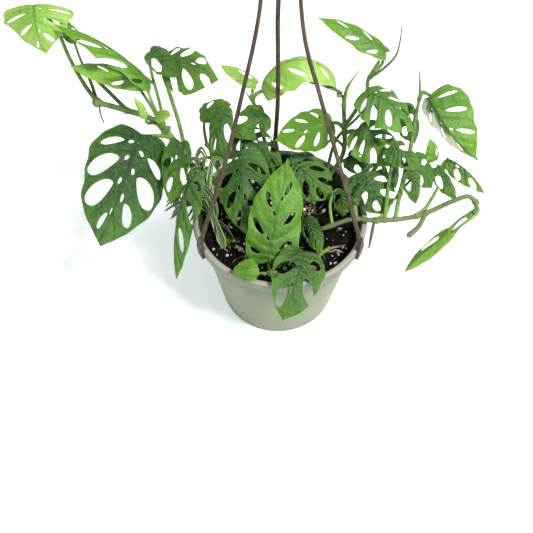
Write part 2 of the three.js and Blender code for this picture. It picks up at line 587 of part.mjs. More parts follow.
// Stems of each vine as [x, y, z, radius] stations; the first one stands in the soil.
const STEMS = {
  vine_left: [
    [[-46, 16, 94, 2.4], [-46, 16, 111, 2.4], [-60, 22, 130, 2.5], [-82, 35, 150, 2.6],
      [-103, 55, 170, 2.7], [-116, 60, 180, 2.6], [-138, 64, 186, 2.5], [-162, 69, 190, 2.3]],
    [[-136, 64, 186, 1.9], [-154, 78, 197, 1.7], [-166, 83, 210, 1.5]],
    [[-160, 69, 190, 0.9], [-160, 63, 184, 0.8], [-158, 59, 176, 0.6]],
  ],
  vine_back_left: [
    [[-28, 36, 94, 2.1], [-28, 36, 111, 2.1], [-50, 50, 130, 2], [-68, 58, 150, 1.8]],
  ],
  vine_back: [
    [[-4, 50, 94, 2], [-4, 50, 111, 2], [-13, 68, 140, 1.9], [-20, 76, 168, 1.8],
      [-26, 78, 190, 1.6]],
    [[-26, 78, 186, 0.9], [-31, 79, 193, 0.5]],
  ],
  vine_middle: [
    [[-12, 30, 94, 2.1], [-12, 30, 111, 2], [-20, 42, 132, 1.7]],
  ],
  vine_upright: [
    [[40, 38, 94, 2.2], [40, 38, 111, 2.2], [60, 58, 138, 2.1], [60, 68, 160, 2.1],
      [57, 74, 184, 1.9], [58, 75, 202, 1.5], [61, 75, 210, 0.9], [66, 77, 218, 0.4]],
    [[46, 44, 119, 1.6], [49, 62, 130, 1.6], [55, 72, 146, 1.5], [72, 78, 166, 1.3],
      [80, 76, 184, 1]],
    [[60, 61, 146, 1.3], [45, 71, 157, 1.2], [36, 77, 168, 0.9]],
  ],
  vine_top_right: [
    [[54, 18, 94, 2.1], [54, 18, 111, 2.1], [66, 22, 126, 2], [92, 44, 142, 2],
      [94, 68, 170, 1.9], [76, 80, 201, 1.7], [83, 84, 222, 1.4]],
    [[78, 81, 208, 1.3], [88, 79, 220, 1.1], [95, 78, 233, 0.9], [96, 80, 246, 0.6],
      [95, 81, 258, 0.35]],
  ],
  vine_right: [
    [[30, -16, 94, 2.3], [30, -16, 111, 2.3], [48, -13, 120, 2.2], [66, -12, 128, 2.1],
      [86, -15, 130, 2.1], [114, -15, 134, 2.1], [128, -13, 138, 2.2], [150, -7, 147, 2.1],
      [164, -4, 150, 2], [171, -8, 146, 1.9]],
    [[128, -13, 138, 2.1], [122, -22, 130, 2.2], [114, -28, 126, 2.6]],
    [[102, -15, 132, 2], [105, 0, 145, 2], [112, 25, 165, 1.9], [117, 52, 190, 1.6],
      [118, 61, 206, 1.1], [115, 69, 224, 0.4]],
    [[86, -15, 130, 2.2], [92, -10, 133, 1.4], [110, 8, 150, 1.1], [128, 22, 158, 1.1]],
    [[93, -15, 130, 2], [94, -4, 140, 2], [95, 8, 152, 1.7], [97, 18, 162, 1.3]],
    [[120, -14, 136, 2], [128, -8, 138, 1.8], [134, 0, 141, 1.5], [140, 9, 148, 1.1]],
    [[84, -14, 130, 1.2], [83, -20, 118, 1.4], [82, -26, 104, 0.8]],
  ],
  seedling_front: [
    [[4, -62, 94, 1.6], [4, -62, 112, 1.4]],
  ],
  seedling_right: [
    [[44, -32, 94, 1.8], [44, -32, 111, 1.5]],
  ],
};

// A petiole leaves the stem, runs through its own points and ends just below the blade,
// square to its underside.
function petiole(leaf) {
  const f = leafFrame(leaf);
  const tipRadius = 0.9;
  const clear = BLADE_THICKNESS / 2 + GAP + 0.2 + tipRadius * Math.tan(leaf.fold * TAU / 360);
  const at = (x, depth) => leafSpace(leaf, f, x, 0, -depth).toArray();
  const stout = leaf.width > 30 ? 2 : 1.6;
  const stations = leaf.petiole.map((p, i) => [...p, stout - 0.2 * i]);
  stations.push([...at(0, clear + 4), 1.1], [...at(0.05, clear + 1.5), tipRadius]);
  stations.push([...at(0.05, clear), tipRadius]);
  return rod(stations, 5, 1);
}

for (const leaf of LEAVES) add(leaf.name, blade(leaf), leaf.tone);

// Small striped grass-like plant that shares the pot: flat narrow leaves from one crown.
const SPIDER_BLADES = [
  [[-60, 0, 106], [-68, 10, 122], [-80, 18, 132], [-90, 20, 130], [-95, 16, 122], [-92, 10, 118]],
  [[-60, 0, 106], [-65, 7, 126], [-71, 15, 137], [-78, 20, 136], [-82, 21, 130]],
  [[-60, 0, 106], [-68, 6, 124], [-80, 8, 130], [-92, 6, 124], [-98, 4, 118]],
  [[-60, 0, 106], [-58, -8, 113], [-56, -18, 114], [-53, -31, 111]],
  [[-60, 0, 106], [-60, 5, 128], [-66, 9, 146], [-74, 8, 150], [-78, 2, 142]],
  [[-60, 0, 106], [-55, -5, 114], [-48, -12, 115], [-42, -20, 110]],

];

function spiderPlant() {
  const blades = SPIDER_BLADES.map((path) => {
    const widths = path.map((p, i) => 0.62 - 0.1 * i / path.length);
    return rod(path.map((p, i) => [...p, widths[i]]), 4, 2, 4, [0.4, -0.9, 0.1]);
  });
  const crown = rod([[-60, 0, 94, 3], [-60, 0, 111, 2.4]], 8, 1);
  return Manifold.union([crown, ...blades]);
}

const stemFeet = [[-60, 0, 3]];
for (const [name, stems] of Object.entries(STEMS)) {
  const rods = stems.map((stations) => rod(stations, 5, 1));
  for (const leaf of LEAVES) if (leaf.vine === name) rods.push(petiole(leaf));
  add(name, geometryOfSolid(Manifold.union(rods)), "stem_green");
  stemFeet.push([stems[0][0][0], stems[0][0][1], stems[0][0][3]]);
}

add("spider_plant", geometryOfSolid(spiderPlant()), "leaf_variegated");
add("pot", geometryOfSolid(pot()), "pot_plastic");
add("soil", geometryOfSolid(soil(stemFeet)), "potting_soil");
add("hanger_hook", geometryOfSolid(hangerHook()), "hanger_plastic");
add("hanger_strand_back", geometryOfSolid(strand(STRAND_AZIMUTHS[0])), "hanger_plastic");
add("hanger_strand_left", geometryOfSolid(strand(STRAND_AZIMUTHS[1])), "hanger_plastic");
add("hanger_strand_right", geometryOfSolid(strand(STRAND_AZIMUTHS[2])), "hanger_plastic");

export default root;
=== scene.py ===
"""Monstera adansonii in a hanging pot, as a Blender add-on that builds the plant piece by piece.

Lengths in the tables are millimetres; meshes are made in metres. +Z is up, the pot's
underside is at z = 0 and the front is -Y.
"""

import math
from typing import NamedTuple

import bpy
import numpy as np
from mathutils import Matrix, Vector


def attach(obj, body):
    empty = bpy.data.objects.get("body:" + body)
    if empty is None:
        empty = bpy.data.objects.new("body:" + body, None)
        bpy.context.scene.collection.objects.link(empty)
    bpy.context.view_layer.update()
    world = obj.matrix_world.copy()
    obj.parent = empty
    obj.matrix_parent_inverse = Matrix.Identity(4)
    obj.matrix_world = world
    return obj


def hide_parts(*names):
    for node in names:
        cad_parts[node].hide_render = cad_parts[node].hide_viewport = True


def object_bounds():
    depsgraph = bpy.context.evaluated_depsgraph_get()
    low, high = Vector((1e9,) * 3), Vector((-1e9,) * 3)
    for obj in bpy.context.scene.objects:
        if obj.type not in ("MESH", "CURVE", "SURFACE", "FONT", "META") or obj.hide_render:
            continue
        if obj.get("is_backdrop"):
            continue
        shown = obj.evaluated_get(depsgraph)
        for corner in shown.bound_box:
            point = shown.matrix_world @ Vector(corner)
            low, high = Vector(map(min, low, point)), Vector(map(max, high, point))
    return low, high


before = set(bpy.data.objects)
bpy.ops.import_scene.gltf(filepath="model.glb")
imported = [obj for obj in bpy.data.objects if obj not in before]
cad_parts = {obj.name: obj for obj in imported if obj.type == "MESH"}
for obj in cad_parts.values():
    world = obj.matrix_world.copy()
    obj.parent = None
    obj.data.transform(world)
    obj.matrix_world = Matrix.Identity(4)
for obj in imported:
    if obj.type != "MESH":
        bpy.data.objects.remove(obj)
CAD_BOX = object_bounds()

bl_info = {
    "name": "Monstera in a hanging pot",
    "version": (1, 0, 0),
    "blender": (4, 5, 0),
    "location": "3D View > Sidebar > Monstera",
    "description": "Builds a trailing monstera with perforated leaves in a hanging pot",
    "category": "Object",
}

MM = 0.001
TAU = 2 * math.pi


# ------------------------------------------------------------------ plant tables
class Leaf(NamedTuple):
    """A blade and its stalk, with angles in degrees. Side veins divide each half of the
    blade into sectors, which are counted from the base. Seen from above with the tip
    pointing away, those on the left have plain numbers and those on the right minus signs."""
    vine: str  # stem that the stalk grows from
    tone: str  # kind of blade, leaf_young or leaf_mature; sets how far its tip runs out
    base: tuple  # end of the midrib at the stalk
    tip: tuple  # other end of the midrib
    width: float  # from margin to margin before folding
    face: tuple  # the way the upper side looks
    droop: float  # angle that the midrib bends through from base to tip
    fold: float  # angle that each half hangs down from the midrib
    sectors: int  # how many sectors each half has
    seed: int  # gives the blade its own fixed random numbers
    petiole: tuple  # stations of the stalk, from the stem up
    age: float = 0.16  # 0 for an old dark leaf and 1 for the newest and palest
    curl: float = 0.1  # how far the margin rolls under, as a share of the half width
    belly: float = 0.22  # how much fuller the blade is near its base than near its tip
    slots: tuple = ()  # sectors whose hole runs out through the margin
    wide: tuple = ()  # sectors with a broad hole and a small one beside the midrib
    inner: bool = False  # True gives each other sector two holes
    pierce: float = 1  # size of the holes as a share of the usual
    slim: float = 1  # width alone of the holes, likewise


LEAVES = {
    # Pale as a young leaf; its high age is also painted light, for the light that shines through it
    # from behind.
    "leaf_far_left": Leaf(
        "vine_left", "leaf_young", base=(-198, 94, 266), tip=(-196, 80, 232), width=47,
        face=(0, -0.4, 0.9), droop=90, fold=12, sectors=5, seed=1, age=0.93, belly=0.7, slim=0.45,
        petiole=((-162, 69, 190), (-170, 73, 206), (-178, 80, 228), (-185, 89, 252))),
    "leaf_left_spur": Leaf(
        "vine_left", "leaf_mature", base=(-170, 86, 240), tip=(-181, 97, 252), width=14,
        face=(0.3, -0.3, 0.9), droop=20, fold=20, sectors=2, seed=4, age=0.35,
        petiole=((-162, 69, 190), (-166, 79, 204), (-170, 84, 216), (-171, 84, 230))),
    "leaf_left_back": Leaf(
        "vine_left", "leaf_mature", base=(-108, 54, 223), tip=(-180, 80, 257), width=26,
        face=(0.1, 0.3, 0.9), droop=40, fold=15, sectors=5, seed=2, age=0.43, curl=0.2,
        slots=(3, -3), slim=0.6, petiole=((-103, 55, 170), (-107, 50, 196), (-110, 50, 216))),
    "leaf_left_back_low": Leaf(
        "vine_left", "leaf_young", base=(-117, 61, 217), tip=(-174, 70, 226), width=18,
        face=(0, -0.5, 0.8), droop=30, fold=15, sectors=3, seed=3, age=0.72, slim=0.45,
        petiole=((-106, 56, 173), (-113, 60, 194), (-123, 70, 208))),
    "leaf_left_big": Leaf(
        "vine_left", "leaf_mature", base=(-120, 36, 184), tip=(-154, -44, 132), width=74,
        face=(0.3, -0.5, 0.8), droop=35, fold=22, sectors=6, seed=5, age=0.04, wide=(-3, -4, 3),
        inner=True, slim=0.8, petiole=((-98, 50, 166), (-104, 45, 173))),
    "leaf_left_narrow": Leaf(
        "vine_left", "leaf_mature", base=(-84, 21, 189), tip=(-95, -11, 147), width=30,
        face=(0.3, -0.3, 0.8), droop=30, fold=40, sectors=4, seed=8, slots=(3,),
        petiole=((-84, 37, 151), (-82, 33, 168), (-84, 25, 181))),
    "leaf_left_unfurling": Leaf(
        "vine_left", "leaf_young", base=(-117, 40, 197), tip=(-122, 48, 212), width=12,
        face=(-0.3, -0.8, 0.5), droop=20, fold=50, sectors=1, seed=9, age=0.9,
        petiole=((-112, 58, 177), (-116, 46, 188))),
    "leaf_left_bud": Leaf(
        "vine_left", "leaf_young", base=(-106, 42, 200), tip=(-92, 34, 206), width=13,
        face=(0, -0.4, 0.9), droop=30, fold=20, sectors=1, seed=10, age=0.8,
        petiole=((-103, 55, 170), (-105, 46, 190))),
    "leaf_top_left": Leaf(
        "vine_left", "leaf_mature", base=(-97, 71, 232), tip=(-54, 70, 214), width=46,
        face=(0.1, -0.4, 0.9), droop=75, fold=25, sectors=5, seed=6, age=0.3, slots=(-2, -4, 3),
        petiole=((-84, 37, 151), (-90, 54, 182), (-97, 67, 214))),
    "leaf_top_left_small": Leaf(
        "vine_left", "leaf_mature", base=(-106, 66, 244), tip=(-84, 58, 226), width=20,
        face=(0.4, -0.6, 0.6), droop=40, fold=15, sectors=2, seed=7,
        petiole=((-103, 55, 170), (-105, 60, 200), (-108, 66, 230))),
    "leaf_hanging_left": Leaf(
        "vine_back_left", "leaf_mature", base=(-77, 14, 158), tip=(-95, -48, 86), width=30,
        face=(-0.6, -0.3, 0.6), droop=40, fold=30, sectors=5, seed=11, slots=(-4,), slim=0.7,
        petiole=((-58, 53, 134), (-68, 42, 150), (-74, 30, 156))),
    "leaf_back_left_top": Leaf(
        "vine_back_left", "leaf_mature", base=(-73, 73, 174), tip=(-44, 67, 190), width=20,
        face=(-0.4, -0.4, 0.8), droop=20, fold=10, sectors=3, seed=12, age=0.3,
        petiole=((-68, 58, 150), (-70, 66, 162))),
    "leaf_back_left_edge": Leaf(
        "vine_back_left", "leaf_mature", base=(-50, 52, 197), tip=(-57, 26, 150), width=21,
        face=(-0.2, -0.9, 0.4), droop=30, fold=12, sectors=3, seed=13, age=0.15, slots=(2,),
        petiole=((-64, 56, 145), (-60, 58, 160), (-53, 57, 178))),
    "leaf_back_narrow": Leaf(
        "vine_back", "leaf_young", base=(-22, 80, 201), tip=(-52, 88, 214), width=13,
        face=(0, -0.4, 0.9), droop=30, fold=15, sectors=2, seed=14, age=0.8,
        petiole=((-26, 77, 188),)),
    "leaf_back_arch": Leaf(
        "vine_back", "leaf_young", base=(-17, 74, 202), tip=(48, 77, 201), width=40,
        face=(0, -0.1, 1), droop=172, fold=30, sectors=5, seed=15, age=0.96, pierce=0.7, slim=0.7,
        petiole=((-26, 77, 188), (-20, 75, 196))),
    "leaf_back_slotted": Leaf(
        "vine_back", "leaf_mature", base=(-14, 63, 184), tip=(-43, 49, 170), width=30,
        face=(0.1, -0.5, 0.8), droop=30, fold=20, sectors=3, seed=16, age=0.2, slots=(2, -2),
        petiole=((-20, 76, 168), (-18, 74, 178))),
    "leaf_pot_back": Leaf(
        "vine_middle", "leaf_mature", base=(-38, 57, 165), tip=(2, 45, 138), width=36,
        face=(-0.1, -0.4, 0.9), droop=40, fold=20, sectors=6, seed=17, age=0.04, slots=(-3, -4),
        petiole=((-20, 42, 132), (-28, 56, 148), (-36, 63, 158))),
    "leaf_pot_left": Leaf(
        "vine_middle", "leaf_mature", base=(-36, 42, 158), tip=(-31, -20, 118), width=48,
        face=(-0.1, -0.4, 0.8), droop=30, fold=15, sectors=6, seed=18, age=0.14,
        petiole=((-18, 36, 126), (-30, 33, 138))),
    "leaf_pot_right": Leaf(
        "vine_middle", "leaf_mature", base=(9, 51, 138), tip=(48, 17, 122), width=46,
        face=(-0.1, -0.2, 0.9), droop=40, fold=15, sectors=6, seed=19, age=0.17, slots=(4,),
        petiole=((-14, 33, 112), (-2, 44, 128))),
    "leaf_front_bright": Leaf(
        "seedling_front", "leaf_young", base=(-11, -53, 120), tip=(5, 8, 178), width=46,
        face=(0, -0.7, 0.7), droop=25, fold=12, sectors=5, seed=20, age=0.34, curl=0.05, pierce=0.8,
        slim=0.8, petiole=((4, -62, 112), (0, -66, 116), (-8, -62, 117))),
    "leaf_front_round": Leaf(
        "seedling_front", "leaf_young", base=(-31, -79, 135), tip=(-24, -60, 134), width=20,
        face=(0, -0.2, 0.9), droop=20, fold=5, sectors=1, seed=21, age=0.36,
        petiole=((4, -62, 112), (-10, -66, 121), (-24, -72, 129))),
    "leaf_front_rim": Leaf(
        "seedling_right", "leaf_mature", base=(20, -50, 131), tip=(2, -104, 110), width=42,
        face=(0.1, -0.4, 0.9), droop=70, fold=5, sectors=4, seed=22, age=0.11, curl=0.05,
        slots=(3,), petiole=((44, -32, 110), (34, -40, 112), (26, -48, 121))),
    "leaf_front_dark": Leaf(
        "vine_right", "leaf_mature", base=(24, -6, 122), tip=(36, -42, 118), width=18,
        face=(-0.2, -0.2, 0.9), droop=30, fold=20, sectors=2, seed=23, age=0.1,
        petiole=((30, -16, 108), (26, -8, 113))),
    "leaf_back_right_narrow": Leaf(
        "vine_upright", "leaf_mature", base=(53, 78, 196), tip=(12, 88, 202), width=14,
        face=(0, 0.7, 0.7), droop=30, fold=15, sectors=2, seed=24,
        petiole=((57, 74, 184), (55, 77, 191))),
    "leaf_back_middle": Leaf(
        "vine_upright", "leaf_young", base=(47, 67, 172), tip=(-3, 50, 164), width=44,
        face=(0, -0.5, 0.8), droop=30, fold=32, sectors=5, seed=25, age=0.46, pierce=0.85, slim=0.7,
        petiole=((60, 69, 160), (53, 69, 167))),
    "leaf_right_top": Leaf(
        "vine_upright", "leaf_mature", base=(70, 57, 213), tip=(110, 30, 194), width=48,
        face=(0.2, -0.1, 1), droop=60, fold=15, sectors=6, seed=26, age=0.27, slots=(-3, -5, 3, 5),
        petiole=((60, 69, 164), (66, 62, 188), (69, 59, 204))),
    "leaf_right_low": Leaf(
        "vine_upright", "leaf_mature", base=(69, 53, 176), tip=(102, 22, 162), width=40,
        face=(0, -0.4, 0.9), droop=40, fold=15, sectors=6, seed=27, age=0.3, slots=(2, 4, -2, -4),
        petiole=((60, 67, 156), (65, 58, 168))),
    "leaf_right_foot": Leaf(
        "vine_upright", "leaf_mature", base=(64, 52, 142), tip=(84, 42, 132), width=22,
        face=(0, -0.3, 0.9), droop=40, fold=10, sectors=3, seed=28, age=0.06,
        petiole=((56, 53, 128), (60, 52, 136))),
    "leaf_top_right": Leaf(
        "vine_top_right", "leaf_young", base=(88, 88, 228), tip=(33, 108, 246), width=19,
        face=(0, -0.3, 0.9), droop=30, fold=15, sectors=4, seed=29, age=0.42, slim=0.6,
        petiole=((81, 81, 214), (87, 86, 220))),
    "leaf_right_shade": Leaf(
        "vine_right", "leaf_mature", base=(72, 18, 157), tip=(96, -7, 130), width=40,
        face=(0, -0.7, 0.7), droop=30, fold=10, sectors=5, seed=30, age=0.1, slots=(2, 4, -3),
        petiole=((68, -12, 128), (68, 4, 133), (70, 15, 146))),
    "leaf_right_inner": Leaf(
        "vine_right", "leaf_mature", base=(57, 11, 140), tip=(58, -2, 120), width=18,
        face=(-0.2, -0.5, 0.7), droop=40, fold=10, sectors=2, seed=31, age=0.12,
        petiole=((48, -13, 118), (46, 6, 128), (51, 15, 136))),
    "leaf_right_strap": Leaf(
        "vine_right", "leaf_mature", base=(100, 44, 148), tip=(110, 31, 122), width=16,
        face=(0.2, -0.7, 0.5), droop=40, fold=20, sectors=2, seed=32,
        petiole=((112, 25, 165), (108, 40, 160), (101, 50, 153))),
    "leaf_far_right": Leaf(
        "vine_right", "leaf_young", base=(125, 59, 205), tip=(168, 20, 172), width=50,
        face=(-0.74, -0.86, 0.28), droop=45, fold=38, sectors=5, seed=33, age=0.38, curl=0.05,
        belly=0.4, pierce=0.9, slim=0.5, petiole=((118, 59, 203), (121, 64, 206))),
    "leaf_right_cluster": Leaf(
        "vine_right", "leaf_mature", base=(114, 20, 172), tip=(134, 8, 148), width=26,
        face=(0.1, -0.5, 0.8), droop=40, fold=20, sectors=3, seed=34, slots=(-2,),
        petiole=((110, 12, 156), (112, 18, 164))),
    "leaf_right_behind": Leaf(
        "vine_right", "leaf_mature", base=(107, 62, 189), tip=(121, 47, 164), width=22,
        face=(-0.1, -0.6, 0.8), droop=40, fold=20, sectors=3, seed=42, age=0.1, slots=(-3,),
        petiole=((117, 51, 189), (114, 61, 194), (109, 68, 190))),
    "leaf_right_curled": Leaf(
        "vine_right", "leaf_young", base=(137, 28, 161), tip=(131, 40, 175), width=13,
        face=(0.3, -0.7, 0.6), droop=40, fold=20, sectors=2, seed=35, age=0.5,
        petiole=((128, 22, 158),)),
    "leaf_right_long": Leaf(
        "vine_right", "leaf_mature", base=(138, 22, 158), tip=(158, 4, 137), width=18,
        face=(0.3, -0.5, 0.8), droop=30, fold=25, sectors=2, seed=36, petiole=((128, 22, 158),)),
    "leaf_right_twisted": Leaf(
        "vine_right", "leaf_mature", base=(150, 34, 158), tip=(183, 9, 140), width=22,
        face=(0.4, -0.3, 0.8), droop=50, fold=45, sectors=4, seed=37, age=0.3, slots=(2, -3, 4),
        petiole=((128, 22, 158), (143, 31, 148))),
    "leaf_right_hanging": Leaf(
        "vine_right", "leaf_mature", base=(112, 6, 170), tip=(119, -6, 143), width=18,
        face=(0.2, -0.6, 0.6), droop=30, fold=25, sectors=2, seed=40,
        petiole=((105, 2, 147), (108, 9, 158))),
    "leaf_right_fringe": Leaf(
        "vine_right", "leaf_mature", base=(92, 22, 184), tip=(118, 8, 172), width=22,
        face=(0.1, -0.5, 0.8), droop=40, fold=20, sectors=3, seed=41, slots=(2,),
        petiole=((110, 18, 160), (98, 26, 176))),
    "leaf_chain_upper": Leaf(
        "vine_right", "leaf_mature", base=(170, -9, 138), tip=(140, -26, 97), width=18,
        face=(0.2, 0.7, 0.6), droop=30, fold=20, sectors=2, seed=38, age=0.3,
        petiole=((170, -8, 147),)),
    "leaf_chain_lower": Leaf(
        "vine_right", "leaf_young", base=(145, -33, 136), tip=(117, -40, 86), width=15,
        face=(-0.3, -0.3, 0.9), droop=30, fold=30, sectors=2, seed=39, age=0.6,
        petiole=((170, -8, 147), (168, -22, 150), (156, -31, 147))),
}

# Branches of each stem, the main one first. A station is (x, y, z, radius).
STEMS = {
    "vine_left": (
        ((-46, 16, 94, 2.4), (-46, 16, 111, 2.4), (-60, 22, 130, 2.5), (-82, 35, 150, 2.6),
         (-103, 55, 170, 2.7), (-116, 60, 180, 2.6), (-138, 64, 186, 2.5), (-162, 69, 190, 2.3)),
        ((-136, 64, 186, 1.9), (-154, 78, 197, 1.7), (-166, 83, 210, 1.5)),
        ((-160, 69, 190, 0.9), (-160, 63, 184, 0.8), (-158, 59, 176, 0.6)),
    ),
    "vine_back_left": (
        ((-28, 36, 94, 2.1), (-28, 36, 111, 2.1), (-50, 50, 130, 2), (-68, 58, 150, 1.8)),
    ),
    "vine_back": (
        ((-4, 50, 94, 2), (-4, 50, 111, 2), (-13, 68, 140, 1.9), (-20, 76, 168, 1.8),
         (-26, 78, 190, 1.6)),
        ((-26, 78, 186, 0.9), (-31, 79, 193, 0.5)),
    ),
    "vine_middle": (
        ((-12, 30, 94, 2.1), (-12, 30, 111, 2), (-20, 42, 132, 1.7)),
    ),
    "vine_upright": (
        ((40, 38, 94, 2.2), (40, 38, 111, 2.2), (60, 58, 138, 2.1), (60, 68, 160, 2.1),
         (57, 74, 184, 1.9), (58, 75, 202, 1.5), (61, 75, 210, 0.9), (66, 77, 218, 0.4)),
        ((46, 44, 119, 1.6), (49, 62, 130, 1.6), (55, 72, 146, 1.5), (72, 78, 166, 1.3),
         (80, 76, 184, 1)),
        ((60, 61, 146, 1.3), (45, 71, 157, 1.2), (36, 77, 168, 0.9)),
    ),
    "vine_top_right": (
        ((54, 18, 94, 2.1), (54, 18, 111, 2.1), (66, 22, 126, 2), (92, 44, 142, 2), (94, 68, 170, 1.9),
         (76, 80, 201, 1.7), (83, 84, 222, 1.4)),
        ((78, 81, 208, 1.3), (88, 79, 220, 1.1), (95, 78, 233, 0.9), (96, 80, 246, 0.6),
         (95, 81, 258, 0.35)),
    ),
    "vine_right": (
        ((30, -16, 94, 2.3), (30, -16, 111, 2.3), (48, -13, 120, 2.2), (66, -12, 128, 2.1),
         (86, -15, 130, 2.1), (114, -15, 134, 2.1), (128, -13, 138, 2.2), (150, -7, 147, 2.1),
         (164, -4, 150, 2), (171, -8, 146, 1.9)),
        ((128, -13, 138, 2.1), (122, -22, 130, 2.2), (114, -28, 126, 2.6)),
        ((102, -15, 132, 2), (105, 0, 145, 2), (112, 25, 165, 1.9), (117, 52, 190, 1.6),
         (118, 61, 206, 1.1), (115, 69, 224, 0.4)),
        ((86, -15, 130, 2.2), (92, -10, 133, 1.4), (110, 8, 150, 1.1), (128, 22, 158, 1.1)),
        ((93, -15, 130, 2), (94, -4, 140, 2), (95, 8, 152, 1.7), (97, 18, 162, 1.3)),
        ((120, -14, 136, 2), (128, -8, 138, 1.8), (134, 0, 141, 1.5), (140, 9, 148, 1.1)),
        ((84, -14, 130, 1.2), (83, -20, 118, 1.4), (82, -26, 104, 0.8)),
    ),
    "seedling_front": (
        ((4, -62, 94, 1.6), (4, -62, 112, 1.4)),
    ),
    "seedling_right": (
        ((44, -32, 94, 1.8), (44, -32, 111, 1.5)),
    ),
}

# Numbers of the branches that are dry roots, that end in a cut, and that are old.
ROOT_BRANCHES = {"vine_left": (2,), "vine_right": (6,)}
CUT_BRANCHES = {"vine_right": (1,)}
OLD_BRANCHES = {"vine_right": (0, 1, 6)}

# The small striped companion: its crown, and the line of each leaf from there to its tip.
CROWN = (-60, 0, 106)
SPIDER_BLADES = (
    (CROWN, (-68, 10, 122), (-80, 18, 132), (-90, 20, 130), (-95, 16, 122), (-92, 10, 118)),
    (CROWN, (-65, 7, 126), (-71, 15, 137), (-78, 20, 136), (-82, 21, 130)),
    (CROWN, (-68, 6, 124), (-80, 8, 130), (-92, 6, 124), (-98, 4, 118)),
    (CROWN, (-58, -8, 113), (-56, -18, 114), (-53, -31, 111)),
    (CROWN, (-60, 5, 128), (-66, 9, 146), (-74, 8, 150), (-78, 2, 142)),
    (CROWN, (-55, -5, 114), (-48, -12, 115), (-42, -20, 110)),
)

# Those that end beyond this x hang over the rim; each is thrown aside by these spreads too.
OVER_RIM = -70
SIDE_SPREADS = (3, 5, 7, 9)

# A broad straight leaf over the soil, the way its width lies, and two that curl over.
BROAD_BLADE = ((-51, -27, 103.5), (-55, -16, 108), (-59, -7, 113), (-62, -1, 120), (-65, 6, 127))
BROAD_ACROSS = (0.93, 0.28, 0.12)
CURLED_BLADES = (
    (CROWN, (-70, 12, 126), (-76, 18, 142), (-80, 14, 150), (-84, 4, 148), (-86, -4, 140)),
    (CROWN, (-63, 10, 130), (-66, 18, 148), (-71, 20, 158), (-78, 16, 160), (-83, 9, 155)),
)

# Narrow leaves, thrown back and out over the rim, each once as it is and once aside.
NARROW_BLADES = (
    (CROWN, (-67, 10, 139), (-73, 22, 152), (-74, 32, 163), (-70, 36, 168), (-64, 28, 163)),
    (CROWN, (-67, 8, 144), (-70, 22, 157), (-74, 28, 163), (-79, 26, 162), (-77, 10, 151)),
    (CROWN, (-66, 6, 138), (-74, 14, 145), (-83, 12, 143), (-92, 8, 139), (-104, 0, 129)),
    (CROWN, (-65, 4, 135), (-74, 8, 141), (-83, 4, 138), (-93, -2, 125), (-98, -6, 121)),
    (CROWN, (-65, 4, 135), (-72, 8, 144), (-79, 4, 144), (-84, -3, 135), (-92, -8, 127)),
    (CROWN, (-65, 10, 139), (-63, 22, 154), (-59, 28, 163), (-54, 28, 163), (-52, 22, 160)),
    (CROWN, (-65, 4, 135), (-70, 2, 140), (-76, -4, 130), (-82, -10, 120)),
)
NARROW_SPREADS = (0, 3)

# Short arching leaves: how many there are, the middle of the tuft that they make, and the
# ranges of their directions in degrees, reaches, tops, half widths and lack of pale margins.
TUFT_COUNT = 28
TUFT_MIDDLE = (-70, 17, 0)
TUFT_TURNS = (20, 260)
TUFT_REACH = (7, 14)
TUFT_TOP = (138, 162)
TUFT_HALF = (2.4, 3.4)
TUFT_PLAIN = (0.3, 1)

# The pot as (radius, height), then the middle of its wall: radius at the floor and slope.
POT_PROFILE = (
    (0, 0), (58.4, 0), (59.4, 1), (73.9, 110), (74.6, 119.4), (78.1, 119.4), (78.4, 113),
    (80, 113), (80, 121.4), (79, 123), (76.4, 123), (75, 121.6), (72.6, 108), (58.4, 4),
    (56.6, 2.6), (0, 2.6),
)
WALL_FOOT = 58.8
WALL_SLOPE = 0.133

# The soil: radius and height where it meets the wall, its bottom and wall, and its dome.
SOIL_EDGE = 71.3
SOIL_RIM = 100
SOIL_TOP = 104
SOIL_WALL = ((0, 2.9), (56, 2.9), (58.1, 5), (64, 50), (71.2, SOIL_RIM))
SOIL_DOME = (
    (0, SOIL_TOP + 2), (26, SOIL_TOP + 2), (46, SOIL_TOP + 1), (62, SOIL_TOP), (71.7, SOIL_RIM),
)

# On the soil: a patch of fine perlite as x, y and radius, the tuft of moss as x and y, and
# dry twigs with stations (x, y, z, radius).
PERLITE_PATCH = (27, 22, 9)
MOSS_PLACE = (-46, -20)
TWIGS = (
    ((34, -34, 107, 0.9), (44, -32, 110, 1.1), (52, -30, 110.6, 1.0), (59, -28, 110, 0.6)),
    ((24, -46, 106, 0.8), (31, -42, 108, 0.9), (38, -38, 109, 0.5)),
    ((45, -34, 108, 0.6), (51, -33, 109.5, 0.8), (57, -35, 109, 0.3)),
)

# Strands: a station is (distance from the axis, height, radius), and a rod is a little wider
# sideways. From a height of LEAN_FROM on, and fully LEAN_OVER above it, they lean over to the
# hub, whose axis stands at HUB_X.
HUB_X = -4
STRAND_AZIMUTHS = {"back": 93, "left": 210, "right": 330}
STRAND_LINE = (
    (12.5, 362, 1.2), (12.8, 345, 1.2), (14.5, 326, 1.2), (19.5, 302, 1.28), (30, 270, 1.36),
    (41, 237, 1.44), (54, 200, 1.56), (66.5, 166, 1.68), (76, 140, 1.84), (80.4, 127, 2.08),
)
STRAND_WIDE = 1.25
LEAN_FROM = 190
LEAN_OVER = 110

